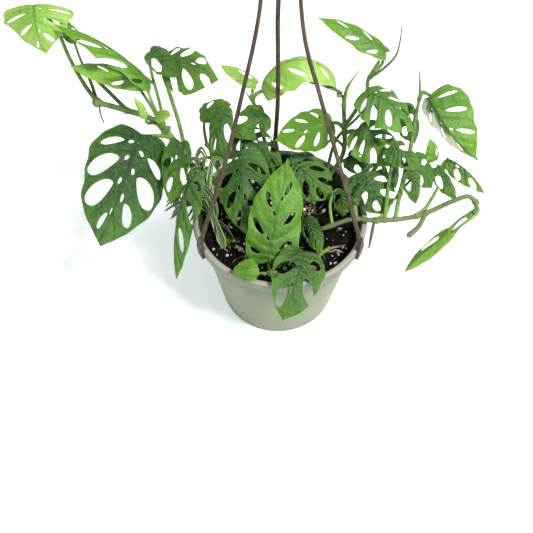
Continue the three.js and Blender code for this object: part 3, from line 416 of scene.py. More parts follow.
# Outlines as (radius, height) of the clip's plate at the rim, the hub's core and an arm of the
# hub. CLIP_HALF is (height, half width) and ARM_HALF is (radius, half width).
CLIP_PLATE = (
    (77.2, 123.3), (80.3, 123.3), (80.3, 112.7), (79, 112.7), (79, 110.9), (82.2, 110.9),
    (82.6, 124), (81.6, 131), (80.6, 136), (78.6, 136), (78.4, 125.2), (77.2, 125),
)
CLIP_HALF = ((110, 4.5), (123, 4.5), (127, 3.4), (136, 2.1))
HUB_CORE = ((0, 355), (4.6, 355), (5.6, 356.4), (5.6, 366.4), (4.4, 368.4), (3.4, 372), (0, 372))
HUB_ARM = ((2, 358.4), (15.2, 358.4), (16.6, 360), (16.6, 364.4), (15, 366), (2, 367.4))
ARM_HALF = ((2, 3.6), (9, 2.6), (16.6, 3.2))

# The hook as (x, y, z, radius), from a point on the hub's axis at the height HOOK_Z.
HOOK_Z = 366
HOOK_LINE = (
    (0, 0, -2, 2.6), (0, 0, 14, 2.5), (6, 0, 24, 2.5), (14, 0, 36, 2.5), (10.5, 0, 48, 2.5),
    (0, 0, 53, 2.5), (-10.5, 0, 48, 2.5), (-14.5, 0, 38, 2.4), (-13.5, 0, 31, 2.2),
)

# Form of a blade. Lengths along it are shares of the midrib and lengths across it shares of
# the half width; waves are in radians from base to tip.
RIB_POWER = 2.2  # crowds the side veins together at the base
LOBE = 0.1  # how far the lobes reach back behind the base
LOBE_ROUND = 0.07  # part of s in which the margin comes forward again to the base
FULLNESS = 0.75  # power of the sine that gives the half width
TAPER = 0.72  # how much the blade is drawn in at its tip
TAPER_LENGTH = 0.2  # part of s in which it is
POINT = {"leaf_young": 0.05, "leaf_mature": 0.015}  # how far the tip runs out
POINT_START = 0.04  # part of s that runs out
VEIN_BOW = 0.03  # how far a side vein bows back towards the base
FIRST_VEIN = 0.18  # least s of a side vein
LAST_HOLE = 0.97  # a sector that ends beyond this s has no hole
BLADE_WAVE = (0.05, 9)  # height and radians of the blade's own wave
MARGIN_WAVES = ((0.035, 19, 1), (0.02, 47, 3))  # height, radians and multiple of the phase

# Holes: half widths are shares of a sector, middles and half lengths are in r.
HOLE_HALF, HOLE_MIDDLE, HOLE_REACH = 0.24, 0.56, 0.35
INNER_REACH = 0.27  # half length where every sector has two
WIDE_HALF, WIDE_MIDDLE, WIDE_REACH = 0.36, 0.62, 0.325
SLOT_HALF, SLOT_MIDDLE, SLOT_REACH = 0.25, 0.62, 0.3
LIP = 0.7  # half width of a slot at the margin, as a share of its own
TWO_HOLES_CHANCE = 0.55  # above this a sector of a large leaf has two holes
TWO_HOLES_SPLIT = 0.36  # share of the rings on the midrib's side of the line between them
WIDE_SPLIT = 0.28  # the same where the outer hole is broad
HOLE_ROWS = 6
NEAR_ROWS = 3
ROW_POWER = 1.2  # crowds rows at a hole's edge and rings at the midrib

# The variegated leaf and the half that is cream.
CREAM_LEAF = "leaf_far_right"
CREAM_HALF = -1


# ------------------------------------------------------------------ sizes and colours
def measure(name, description, default):
    """A length setting in metres."""
    return bpy.props.FloatProperty(
        name=name, description=description, default=default, unit="LENGTH", precision=4)


def colour(name, description, default):
    """A colour setting shown as a swatch."""
    return bpy.props.FloatVectorProperty(
        name=name, description=description, default=default, subtype="COLOR", size=3,
        min=0.0, max=1.0)


class PlantSizes(bpy.types.PropertyGroup):
    """Sizes that a user may change."""
    blade: measure("Blade", "Thickness of a leaf blade", 0.0005)
    quilt: measure("Quilting", "Height of the swelling between two side veins", 0.0008)
    keel: measure("Keel", "Depth of the midrib under the blade", 0.0009)
    ripple: measure("Ripple", "Height of the small waves along the margin", 0.0013)
    pebble: measure("Soil grain", "Height of the bumps in the soil's surface", 0.0012)


class PlantColours(bpy.types.PropertyGroup):
    """Colours that a user may change."""
    mature: colour("Mature leaf", "Upper side of an old leaf", (0.009, 0.042, 0.013))
    mature_light: colour("Mature leaf, light", "Paler parts of an old leaf", (0.036, 0.112, 0.022))
    young: colour("Young leaf", "Upper side of a new leaf", (0.15, 0.365, 0.016))
    young_light: colour("Young leaf, light", "Paler parts of a new leaf", (0.46, 0.66, 0.17))
    cream: colour("Cream", "Cream streaks and stripes", (0.93, 0.95, 0.72))
    stem: colour("Old stem", "Stems that have turned grey", (0.13, 0.235, 0.065))
    shoot: colour("Young stem", "Young stems and leaf stalks", (0.12, 0.30, 0.05))
    root: colour("Root", "Dry roots and old sheaths", (0.09, 0.05, 0.025))
    pot: colour("Pot", "Grey-green plastic of the pot", (0.172, 0.2, 0.114))
    hanger: colour("Hanger", "Brown plastic of the hanger", (0.052, 0.033, 0.02))
    scuff: colour("Scuff", "Rubbed plastic and dried lime", (0.46, 0.36, 0.26))
    soil: colour("Soil", "Damp potting soil", (0.0042, 0.0038, 0.0032))
    perlite: colour("Perlite", "White grains in the soil", (0.75, 0.74, 0.70))
    bark: colour("Bark", "Wood chips and twigs", (0.16, 0.09, 0.045))
    moss: colour("Moss", "Green tuft on the soil", (0.12, 0.28, 0.03))


# ------------------------------------------------------------------ mesh helpers
BARE = (0, 0, 0, 0)  # marks of a shape whose paint reads none


class Shape:
    """Points in millimetres, faces and point values gathered from several surfaces. A point
    has seven values: four marks for its paint and three for its place on the surface. Each
    function that makes a surface says what they mean there."""

    def __init__(self):
        self.points = []
        self.faces = []
        self.values = []
        self.count = 0

    def add(self, points, faces, values):
        """Add a closed surface: points (n, 3), a list of face arrays, and up to seven values
        for each point or for all. Faces that enclose a negative volume are all reversed."""
        points = np.asarray(points, float).reshape(-1, 3)
        faces = [np.asarray(f, int) for f in faces]
        volume = sum(np.sum(points[f[:, 0]] * np.cross(points[f[:, k]], points[f[:, k + 1]]))
                     for f in faces for k in range(1, f.shape[1] - 1))
        if volume < 0:
            faces = [f[:, ::-1] for f in faces]
        values = np.asarray(values, float)
        seven = np.zeros((len(points), 7))
        seven[:, :values.shape[-1]] = values
        self.points.append(points)
        self.faces += [f + self.count for f in faces]
        self.values.append(seven)
        self.count += len(points)

    def make(self, name, material, slot, nodes=(), sharp=40):
        """Put the shape into a Blender object that rides on the part and replaces nodes.
        Edges that bend by more than sharp degrees stay sharp."""
        mesh = bpy.data.meshes.new(name)
        points = np.concatenate(self.points) * MM
        loops = np.concatenate([f.ravel() for f in self.faces])
        corners = np.concatenate([np.full(len(f), f.shape[1]) for f in self.faces])
        mesh.vertices.add(len(points))
        mesh.vertices.foreach_set("co", points.ravel())
        mesh.loops.add(len(loops))
        mesh.loops.foreach_set("vertex_index", loops)
        mesh.polygons.add(len(corners))
        mesh.polygons.foreach_set("loop_start", np.concatenate([[0], np.cumsum(corners)[:-1]]))
        mesh.update(calc_edges=True)
        mesh.validate()
        values = np.concatenate(self.values)
        marks = mesh.attributes.new("marks", "FLOAT_COLOR", "POINT")
        marks.data.foreach_set("color", values[:, :4].ravel())
        spot = mesh.attributes.new("spot", "FLOAT_VECTOR", "POINT")
        spot.data.foreach_set("vector", values[:, 4:].ravel())
        mesh.shade_smooth()
        mesh.set_sharp_from_angle(angle=math.radians(sharp))
        mesh.materials.append(material)
        piece = bpy.data.objects.new(name, mesh)
        bpy.context.scene.collection.objects.link(piece)
        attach(piece, "root")
        if nodes:
            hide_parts(*nodes)


def quads(rows, columns, closed):
    """Faces of a grid of rows by columns points; closed joins its last column to its first."""
    row = np.arange(rows - 1)[:, None]
    column = np.arange(columns if closed else columns - 1)[None, :]
    after = (column + 1) % columns
    corners = (row * columns + column, row * columns + after,
               (row + 1) * columns + after, (row + 1) * columns + column)
    return np.stack(corners, -1).reshape(-1, 4)


def fan(ring, pole):
    """Triangles between a closed ring of points and a pole."""
    return np.stack([np.full(len(ring), pole), np.roll(ring, -1), ring], -1)


def unit(vectors):
    """Vectors divided by their lengths."""
    return vectors / np.maximum(np.linalg.norm(vectors, axis=-1, keepdims=True), 1e-12)


def cos_sin(degrees):
    """Cosine and sine of an angle in degrees."""
    return math.cos(math.radians(degrees)), math.sin(math.radians(degrees))


def smooth_path(stations, steps):
    """Curve through the stations: between two of them each column is the cubic with
    Catmull-Rom slopes, the knots being spaced by the square root of the distance."""
    p = np.asarray(stations, float)
    gap = np.sqrt(np.linalg.norm(np.diff(p[:, :3], axis=0), axis=1))
    slope = np.diff(p, axis=0) / gap[:, None]
    before, after = gap[:-1, None], gap[1:, None]
    inner = (after * slope[:-1] + before * slope[1:]) / (before + after)
    slopes = np.concatenate([slope[:1], inner, slope[-1:]])
    t = np.linspace(0, len(p) - 1, (len(p) - 1) * steps + 1)
    i = np.minimum(t.astype(int), len(p) - 2)
    u = (t - i)[:, None]
    h = gap[i][:, None]
    return ((2 * u ** 3 - 3 * u ** 2 + 1) * p[i] + (u ** 3 - 2 * u ** 2 + u) * h * slopes[i]
            + (3 * u ** 2 - 2 * u ** 3) * p[i + 1] + (u ** 3 - u ** 2) * h * slopes[i + 1])


def path_frame(line, across):
    """Unit tangent, side and normal along a line. The side points as across does or, where
    that is None, lies in the plane that fits the line best."""
    tangent = unit(np.gradient(line, axis=0))
    if across is None:
        flat = np.linalg.svd(line - line.mean(0), full_matrices=False)[2][2]
        side = unit(np.cross(tangent, flat) + 1e-9)
    else:
        side = unit(np.asarray(across, float) - tangent * (tangent @ np.asarray(across))[:, None])
    return tangent, side, np.cross(tangent, side)


def tube(shape, stations, marks, sides, steps, wide=1.0, knots=(), across=None):
    """Rod: a circle, stretched sideways by wide, carried along the smooth path; at each knot
    the radius swells by a third within about 2 mm, and both ends close in a half round. The
    fourth mark rings the knots and, where it is given, the rod's last two fifths. The other
    marks are those given."""
    path = smooth_path(stations, steps)
    line, radius = path[:, :3], path[:, 3]
    tangent, side, normal = path_frame(line, across)
    marked = np.full(len(line), float(marks[3]))
    for knot in knots:
        away = np.linalg.norm(line - np.asarray(knot, float), axis=1)
        radius = radius * (1 + 0.34 * np.exp(-(away / 2.0) ** 2))
        marked = np.maximum(marked, np.exp(-((away - 1.5) / 1.2) ** 2))
    if marks[3]:
        marked = marked * np.clip(5 * np.linspace(0, 1, len(line)) - 3, 0, 1)
    rows = np.concatenate([[0, 0, 0], np.arange(1, len(line) - 1), np.full(3, len(line) - 1)])
    turn = np.radians([0, 30, 60])
    cap = radius[-1] * np.sin(turn)[:, None] * tangent[-1]
    foot = radius[0] * np.sin(turn)[::-1, None] * -tangent[0]
    centre = np.concatenate([line[0] + foot, line[1:-1], line[-1] + cap])
    r = np.concatenate([radius[0] * np.cos(turn)[::-1], radius[1:-1], radius[-1] * np.cos(turn)])
    a = np.arange(sides) * TAU / sides
    ring = wide * np.cos(a)[None, :, None] * side[rows][:, None]
    ring = ring + np.sin(a)[None, :, None] * normal[rows][:, None]
    points = centre[:, None] + r[:, None, None] * ring
    poles = np.stack([line[0] - tangent[0] * radius[0], line[-1] + tangent[-1] * radius[-1]])
    count = len(centre) * sides
    first = fan(np.arange(sides), count)
    last = fan(np.arange(count - sides, count), count + 1)[:, [0, 2, 1]]
    values = np.tile(np.asarray(marks, float), (count + 2, 1))
    values[:, 3] = np.concatenate([np.repeat(marked[rows], sides), marked[[0, -1]]])
    shape.add(np.concatenate([points.reshape(-1, 3), poles]),
              [quads(len(centre), sides, True), first, last], values)


def revolve(shape, profile, sides, marks, lift=None):
    """Body of revolution: each profile point (radius, height) goes once round the axis, and
    points on the axis become poles; lift adds a height to each point. The marks are values
    for every point or a function of the points."""
    p = np.asarray(profile, float)
    on_axis = p[:, 0] < 1e-6
    inner = p[~on_axis]
    a = np.arange(sides) * TAU / sides
    points = np.stack([inner[:, :1] * np.cos(a), inner[:, :1] * np.sin(a),
                       np.repeat(inner[:, 1:], sides, axis=1)], -1).reshape(-1, 3)
    poles = p[on_axis]
    points = np.concatenate([points, np.column_stack([np.zeros((len(poles), 2)), poles[:, 1]])])
    count = len(inner) * sides
    first = fan(np.arange(sides), count)
    last = fan(np.arange(count - sides, count), count + 1)[:, [0, 2, 1]]
    if lift is not None:
        points[:, 2] += lift(points)
    shape.add(points, [quads(len(inner), sides, True), first, last],
              marks(points) if callable(marks) else marks)


def soften(profile, radius, steps=3, closed=False):
    """Polyline with each inner corner cut back by radius and rounded by a parabola whose
    middle control point is the old corner."""
    p = np.asarray(profile, float)
    before = p[:-2] - p[1:-1]
    after = p[2:] - p[1:-1]
    if closed:
        before = np.roll(p, 1, axis=0) - p
        after = np.roll(p, -1, axis=0) - p
    corner = p if closed else p[1:-1]
    room_a = np.linalg.norm(before, axis=1, keepdims=True) / 2.2
    room_b = np.linalg.norm(after, axis=1, keepdims=True) / 2.2
    cut_a = corner + unit(before) * np.minimum(radius, room_a)
    cut_b = corner + unit(after) * np.minimum(radius, room_b)
    u = np.linspace(0, 1, steps + 1)[None, :, None]
    round_off = ((1 - u) ** 2 * cut_a[:, None] + 2 * u * (1 - u) * corner[:, None]
                 + u ** 2 * cut_b[:, None])
    middle = round_off.reshape(-1, p.shape[1])
    return middle if closed else np.concatenate([p[:1], middle, p[-1:]])


def waves(points, scale, seed):
    """Uneven height: the sum of 24 sine waves in random directions at about one wave per
    scale millimetres, each with its own phase, divided so that it stays near -1 to 1."""
    rng = np.random.default_rng(seed)
    count = 24
    direction = unit(rng.normal(size=(count, 3))) * (TAU / scale) * rng.uniform(0.6, 1.6, (count, 1))
    phase = rng.uniform(0, TAU, count)
    return np.sin(np.asarray(points) @ direction.T + phase).sum(1) / math.sqrt(count)


def ends(rows, columns):
    """The first and the last row of a grid, each as one face."""
    return [np.arange(columns)[None, ::-1], np.arange(columns)[None, :] + (rows - 1) * columns]


# ------------------------------------------------------------------ leaf blades
class Hole(NamedTuple):
    """A long hole: its middle and half width in s, its middle and half length in r, and how
    far its outer end leans in s."""
    mid: float
    half: float
    centre: float
    reach: float
    slant: float


def chance(i, seed):
    """A fixed random number from 0 to 1: the fraction of a large multiple of a sine."""
    v = np.sin(i * 12.9898 + seed * 78.233) * 43758.5453
    return v - np.floor(v)


def blade_point(leaf, s, r, side):
    """Blade in its own plane. s is 0 at the base and 1 at the tip and names a midrib point
    (a power of s) and the margin point its side vein runs to (a cosine in s, so the lobes
    reach back beside the base); r is 0 on the midrib and 1 on the margin. The half width is
    a sine in s, fuller towards the base by belly and drawn in at the tip, which runs out by
    a bell curve into a point, longer on a young leaf."""
    rib = s ** RIB_POWER
    edge = (1 - LOBE) / 2 - (1 + LOBE) / 2 * np.cos(np.pi * s)
    edge = edge + LOBE * np.exp(-(s / LOBE_ROUND) ** 2)
    taper = 1 - TAPER * np.exp(-((1 - s) / TAPER_LENGTH) ** 2)
    reach = np.clip(np.sin(np.pi * s), 0, 1) ** FULLNESS
    reach = reach * (1 + leaf.belly * np.cos(np.pi * s)) * taper
    x = rib + (edge - rib) * r - VEIN_BOW * np.sin(np.pi * r) * np.sin(np.pi * s)
    x = x + POINT[leaf.tone] * np.exp(-((1 - s) / POINT_START) ** 2)
    return x, side * reach * r


def uneven(leaf, s, r, side, y):
    """Half width as grown: towards the margin it swells and shrinks by a few hundredths
    with two sines of s, out of step on the two halves."""
    phase = leaf.seed * 1.7 + side
    swell = sum(height * np.sin(radians * s + times * phase)
                for height, radians, times in MARGIN_WAVES)
    return y * (1 + r ** 3 * swell)


def leaf_frame(leaf):
    """Base point, unit vectors along, up from the face and across, droop angle and chord."""
    base, tip, face = (np.asarray(v, float) for v in (leaf.base, leaf.tip, leaf.face))
    chord = np.linalg.norm(tip - base)
    along = (tip - base) / chord
    face = unit(face - along * (face @ along))
    return base, along, face, np.cross(face, along), math.radians(leaf.droop), chord


def leaf_space(leaf, x, y, lift):
    """Blade in space: the midrib bends down on a circular arc through the droop angle; the
    halves fold down from it, roll under with the square of the distance and wave with a
    sine of x; lift moves a point up from the face."""
    base, along, face, across, droop, chord = leaf_frame(leaf)
    turn = droop * (0.5 - x)
    scale = chord / (2 * math.sin(droop / 2))
    along_by = scale * (math.sin(droop / 2) - np.sin(turn))
    face_by = scale * (np.cos(turn) - math.cos(droop / 2))
    half = leaf.width / 2
    fold = math.radians(leaf.fold)
    a = np.abs(y)
    height, radians = BLADE_WAVE
    wave = height * half * a * a * np.sin(radians * x + droop)
    upward = lift - a * half * math.sin(fold) - leaf.curl * half * a * a + wave
    return (base + np.multiply.outer(along_by - np.sin(turn) * upward, along)
            + np.multiply.outer(face_by + np.cos(turn) * upward, face)
            + np.multiply.outer(y * half * math.cos(fold), across))


def vein_stations(leaf, side):
    """Where the side veins of one half stand, from base to tip; one half is offset by half
    a sector so that the veins alternate."""
    shift = 0.0 if side > 0 else 0.5
    s = (np.arange(1, leaf.sectors + 1) - shift) / leaf.sectors
    return np.concatenate([[0], s[(s > FIRST_VEIN) & (s < 0.995)], [1]])


def sector_hole(leaf, s0, s1, side, sector):
    """Hole halfway between two side veins. Its half width, middle, half length and slant
    vary by chance; a broad hole keeps its size."""
    mid, gap = (s0 + s1) / 2, s1 - s0
    k = np.floor(20 * mid + 0.5) + (0 if side > 0 else 1)
    slant = 0.5 * (chance(k + 2, leaf.seed) - 0.5)
    if sector in leaf.wide:
        return Hole(mid, WIDE_HALF * gap, WIDE_MIDDLE, WIDE_REACH, slant * 0.3 * gap)
    half = HOLE_HALF * leaf.pierce * leaf.slim * (0.75 + 0.5 * chance(k, leaf.seed)) * gap
    centre = HOLE_MIDDLE + 0.06 * (chance(k + 9, leaf.seed) - 0.5)
    longest = (INNER_REACH if leaf.inner else HOLE_REACH) * min(1, leaf.pierce)
    reach = longest * (0.75 + 0.3 * chance(k + 5, leaf.seed))
    return Hole(mid, half, centre, reach, slant * half)


def patch_plain(s_line, r_line):
    """Whole patch: every s with every r."""
    s, r = np.meshgrid(s_line, r_line, indexing="ij")
    return s, r, np.ones_like(s), False


def spread_rows(hole_s, hole_r, s, r, rows, closed):
    """Patch between the points of a hole's edge and the outline points they face: straight
    lines with rows steps that widen outwards. The third value is 0 on the hole's edge."""
    v = np.linspace(0, 1, rows + 1)[:, None] ** ROW_POWER
    return hole_s + (s - hole_s) * v, hole_r + (r - hole_r) * v, v + 0 * s, closed


def patch_holed(s_line, r_line, hole, rows):
    """Patch with a hole: the outline goes once round, and the hole is an ellipse drawn in at
    both ends, each point of which faces its outline point."""
    s = np.concatenate([s_line[:-1], np.full(len(r_line) - 1, s_line[-1]),
                        s_line[:0:-1], np.full(len(r_line) - 1, s_line[0])])
    r = np.concatenate([np.full(len(s_line) - 1, r_line[0]), r_line[:-1],
                        np.full(len(s_line) - 1, r_line[-1]), r_line[:0:-1]])
    a = np.arctan2((s - hole.mid) / hole.half, (r - hole.centre) / hole.reach)
    pinch = 1 - 0.25 * np.abs(np.cos(a)) ** 3 + 0.15 * np.cos(a)
    hole_s = hole.mid + hole.half * np.sin(a) * pinch + hole.slant * np.cos(a)
    hole_r = hole.centre + hole.reach * np.cos(a)
    return spread_rows(hole_s, hole_r, s, r, rows, True)


def patch_slotted(s_line, r_line, hole):
    """Patch whose hole runs out through the margin: as patch_holed, but the line of points
    starts and ends on the slot's two lips, and the slot narrows towards them."""
    lip = LIP * hole.half
    top_a = np.linspace(hole.mid + lip, s_line[-1], 5)
    top_b = np.linspace(s_line[0], hole.mid - lip, 5)
    s = np.concatenate([top_a[:-1], np.full(len(r_line) - 1, s_line[-1]), s_line[:0:-1],
                        np.full(len(r_line) - 1, s_line[0]), top_b])
    r = np.concatenate([np.ones(4), r_line[:0:-1], np.full(len(s_line) - 1, r_line[0]),
                        r_line[:-1], np.ones(5)])
    ds, dr = s - hole.mid, r - hole.centre
    a = np.arctan2(ds / hole.half, dr / hole.reach)
    stretch = np.clip(dr, 0, None) * np.minimum(1, lip / np.maximum(np.abs(ds), 1e-9))
    share = stretch / (1 - hole.centre)
    below = dr < 0
    straight = np.sign(ds) * (hole.half + (lip - hole.half) * share)
    hole_s = hole.mid + np.where(below, hole.half * np.sin(a), straight)
    hole_r = hole.centre + np.where(below, hole.reach * np.cos(a), stretch)
    return spread_rows(hole_s, hole_r, s, r, HOLE_ROWS, False)


def pierced_patches(leaf, s0, s1, side, number, s_line, r_line):
    """Patches of a sector with its slot, its hole or, split along a line of equal r, its two
    holes: a small one beside the midrib and the sector's own further out."""
    sector, gap, rings = side * number, s1 - s0, len(r_line) - 1
    hole = sector_hole(leaf, s0, s1, side, sector)
    if sector in leaf.slots:
        slot = Hole(hole.mid, SLOT_HALF * gap, SLOT_MIDDLE, SLOT_REACH, 0)
        return [patch_slotted(s_line, r_line, slot)]
    if sector in leaf.wide:
        split = round(rings * WIDE_SPLIT)
        near = Hole(hole.mid, 0.12 * gap, 0.13, 0.05, 0)
    elif leaf.inner or (leaf.sectors > 3 and chance(number + 2, leaf.seed + side) > TWO_HOLES_CHANCE):
        split = round(rings * TWO_HOLES_SPLIT)
        low = r_line[split]
        near = Hole(hole.mid, hole.half * 0.6, low * 0.56, low * 0.24, hole.slant * 0.5)
        reach = min(hole.reach, (0.9 - low) / 2)
        hole = hole._replace(centre=max(hole.centre, low + reach + 0.05), reach=reach)
    else:
        return [patch_holed(s_line, r_line, hole, HOLE_ROWS)]
    return [patch_holed(s_line, r_line[:split + 1], near, NEAR_ROWS),
            patch_holed(s_line, r_line[split:], hole, HOLE_ROWS)]


def blade_patches(leaf):
    """All patches of a blade as (s, r, distance from the cut edge, closed, side). The sectors
    at the base and at the tip have no hole."""
    fine = 2 * leaf.sectors * max(6, math.ceil(30 / leaf.sectors))
    rings = 20 if leaf.width > 30 else 14
    r_line = (np.arange(rings + 1) / rings) ** ROW_POWER
    for side in (1, -1):
        stations = vein_stations(leaf, side)
        for number, (s0, s1) in enumerate(zip(stations[:-1], stations[1:]), 1):
            s_line = np.arange(round(s0 * fine), round(s1 * fine) + 1) / fine
            if s0 == 0 or s1 > LAST_HOLE:
                patches = [patch_plain(s_line, r_line)]
            else:
                patches = pierced_patches(leaf, s0, s1, side, number, s_line, r_line)
            for patch in patches:
                yield *patch, side


def blade_surface(leaf):
    """Middle surface of a blade as welded points (s, r, side, cut, x, y) and triangles that
    turn anticlockwise in the blade's plane."""
    rows, faces, count = [], [], 0
    for s, r, cut, closed, side in blade_patches(leaf):
        x, y = blade_point(leaf, s, r, side)
        y = uneven(leaf, s, r, side, y)
        rows.append(np.stack([v.ravel() for v in (s, r, np.full(s.shape, side), cut, x, y)], -1))
        q = quads(*s.shape, closed) + count
        faces += [q[:, [0, 1, 2]], q[:, [0, 2, 3]]]
        count += s.size
    rows, faces = np.concatenate(rows), np.concatenate(faces)
    _, first, where = np.unique(np.round(rows[:, 4:] * 1e5), axis=0, return_index=True,
                                return_inverse=True)
    rows, faces = rows[first], where.ravel()[faces]
    x, y = rows[faces, 4], rows[faces, 5]
    area = (x[:, 1] - x[:, 0]) * (y[:, 2] - y[:, 0]) - (x[:, 2] - x[:, 0]) * (y[:, 1] - y[:, 0])
    faces = np.where(area[:, None] < 0, faces[:, ::-1], faces)
    return rows, faces[np.abs(area) > 1e-9]


def vein_mask(leaf, rows):
    """1 on a side vein and 0 away from it: a bell curve of the distance to the nearest
    station, fading towards the margin."""
    s, r, side = rows[:, 0], rows[:, 1], rows[:, 2]
    mask = np.zeros(len(rows))
    for half in (1, -1):
        stations = vein_stations(leaf, half)[1:-1]
        away = np.abs(s[:, None] - stations[None, :]).min(1, initial=1.0) * leaf.sectors
        mask = np.where(side == half, np.exp(-(away / 0.07) ** 2) * (1 - 0.6 * r), mask)
    return mask


def cream_mask(rows):
    """Cream streaks of the variegated leaf: along one half's margin from the base on,
    broken up by two sines of s."""
    streak = 0.42 + 0.22 * np.sin(23 * rows[:, 0]) + 0.12 * np.sin(61 * rows[:, 0] + 2)
    inside = 1 / (1 + np.exp(-(rows[:, 1] - streak) / 0.05))
    reach = np.clip((0.9 - rows[:, 0]) / 0.15, 0, 1)
    return inside * reach * (rows[:, 2] == CREAM_HALF)


def point_normals(points, faces):
    """Unit normal at each point: the sum of the area vectors of its triangles."""
    corner = points[faces]
    area = np.cross(corner[:, 1] - corner[:, 0], corner[:, 2] - corner[:, 0])
    normal = np.zeros_like(points)
    for k in range(3):
        np.add.at(normal, faces[:, k], area)
    return unit(normal)


def rim_faces(faces, count):
    """Faces between a sheet and its copy, whose points come count later, along each edge
    that has a triangle on one side only."""
    edge = np.concatenate([faces[:, [0, 1]], faces[:, [1, 2]], faces[:, [2, 0]]])
    key, back = edge[:, 0] * count + edge[:, 1], edge[:, 1] * count + edge[:, 0]
    rim = edge[~np.isin(key, back)]
    return np.stack([rim[:, 0], rim[:, 0] + count, rim[:, 1] + count, rim[:, 1]], -1)


def blade(shape, name, leaf, measures):
    """Closed blade: the middle surface moved up and down along its normal by half the
    thickness. The upper side swells between veins and sinks along them, the lower side
    carries the midrib as a keel and the veins as low ridges. Rims close margin and holes.
    Marks: rib or vein, cream, the leaf's own shade, upper side; place: s, r, distance from
    the cut edge."""
    rows, faces = blade_surface(leaf)
    s, r, side, cut, x, y = rows.T
    half = leaf.width / 2
    ripple = np.abs(y) ** 2 * np.sin(31 * s + leaf.seed)
    ripple += 0.8 * np.abs(y) * np.sin(11 * s + 2 * side + leaf.seed)
    ripple *= measures.ripple / MM * min(1, half / 20)
    middle = leaf_space(leaf, x, y, ripple)
    normal = point_normals(middle, faces)
    vein = vein_mask(leaf, rows)
    rib = np.exp(-(y * half / 1.0) ** 2) * np.clip(1.05 - x, 0.15, 1)
    inside = np.clip(4 * (1 - r), 0, 1) * np.clip(3 * cut, 0, 1)
    size = min(1, half / 16)
    swell = measures.quilt / MM * size * (0.5 - vein - 0.6 * rib) * inside
    upper = measures.blade / MM / 2 + swell
    lower = measures.blade / MM / 2 - swell * 0.6 + measures.keel / MM * size * rib
    lower = lower + 0.25 * size * vein * inside
    cream = cream_mask(rows) if name == CREAM_LEAF else 0 * s
    shade = np.full(len(s), chance(7, leaf.seed))
    values = np.stack([np.maximum(vein, rib), cream, shade, 1 + 0 * s, s, r, cut], -1)
    shape.add(np.concatenate([middle + normal * upper[:, None], middle - normal * lower[:, None]]),
              [faces, faces[:, ::-1] + len(s), rim_faces(faces, len(s))],
              np.concatenate([values, values * [1, 1, 1, 0, 1, 1, 1]]))


def stalk(leaf):
    """Stations of a leaf stalk: its own points, each a little thinner than the last, then up
    to the base of the blade and a little way along the midrib's underside."""
    def under(x, depth):
        return tuple(leaf_space(leaf, np.array(x), np.array(0.0), np.array(-depth)))

    stout = 2.0 if leaf.width > 30 else 1.6
    clear = 0.85 + 0.9 * math.tan(math.radians(leaf.fold))
    stations = [(*p, stout - 0.2 * i) for i, p in enumerate(leaf.petiole)]
    return stations + [(*under(0.0, clear + 4), 1.1), (*under(0.04, 1.3), 0.95),
                       (*under(0.12, 0.7), 0.5)]


# ------------------------------------------------------------------ striped companion
RIBBON_THICK = 0.5


def ribbon(shape, stations, half, folded, across=None, plain=0.0):
    """Grass-like leaf: across it the height is a shallow V softened at the middle; its half
    width grows over the first sixth and runs out to a point as a root of what is left. plain
    is 1 for a leaf without pale margins. Marks: none, distance from the middle, plain; place:
    across, along."""
    path = smooth_path(np.asarray(stations, float), 9)
    _, side, normal = path_frame(path, across)
    upward = np.sign((normal @ np.array([0, 0, 1.0])).sum()) or 1
    side, normal = side * upward, normal * upward
    t = np.linspace(0, 1, len(path))
    wide = half * np.minimum(1, 0.35 + 4 * t) * (1 - t) ** 0.45 + 0.12
    u = np.concatenate([np.linspace(-1, 1, 9), np.linspace(1, -1, 9)])
    face = np.concatenate([np.ones(9), -np.ones(9)])
    rise = folded * np.sqrt(u ** 2 + 0.02) * wide[:, None]
    thick = RIBBON_THICK / 2 * np.minimum(1, wide / half + 0.2)[:, None]
    depth = thick * face * (1 - 0.5 * np.abs(u))
    points = path[:, None] + (wide[:, None] * u)[..., None] * side[:, None]
    points = points + (rise + depth)[..., None] * normal[:, None]
    n, m = points.shape[:2]
    values = np.zeros((n, m, 7))
    values[..., 1] = np.abs(u)
    values[..., 2] = plain
    values[..., 4] = u
    values[..., 5] = t[:, None]
    shape.add(points, [quads(n, m, True), *ends(n, m)], values.reshape(-1, 7))


def aside(path, spread, rng, shares=(1, 1, 1)):
    """The same leaf thrown aside: a random step, times shares, that grows from nothing at
    the crown to its whole at the tip."""
    step = np.linspace(0, 1, len(path))[:, None] * rng.normal(0, spread, (1, 3))
    return np.asarray(path) + step * np.array(shares)


def tuft_leaf(shape, direction, rng):
    """Short leaf of the tuft: up from the crown, over at its top and down at its end, which
    lies at its reach in the given direction in degrees."""
    start = np.array(TUFT_MIDDLE) + rng.normal(0, 2, 3) * [1, 1, 0]
    ahead = np.array([*cos_sin(direction), 0])
    reach = rng.uniform(*TUFT_REACH)
    top = rng.uniform(*TUFT_TOP)
    path = [CROWN, start + (3, -8, top - 18),
            start + ahead * reach * 0.4 + (0, 0, top),
            start + ahead * reach * 0.8 + (0, 0, top),
            start + ahead * reach + (0, 0, top - reach * 0.7)]
    half = rng.uniform(*TUFT_HALF)
    ribbon(shape, path, half, folded=0.4, plain=rng.uniform(*TUFT_PLAIN))


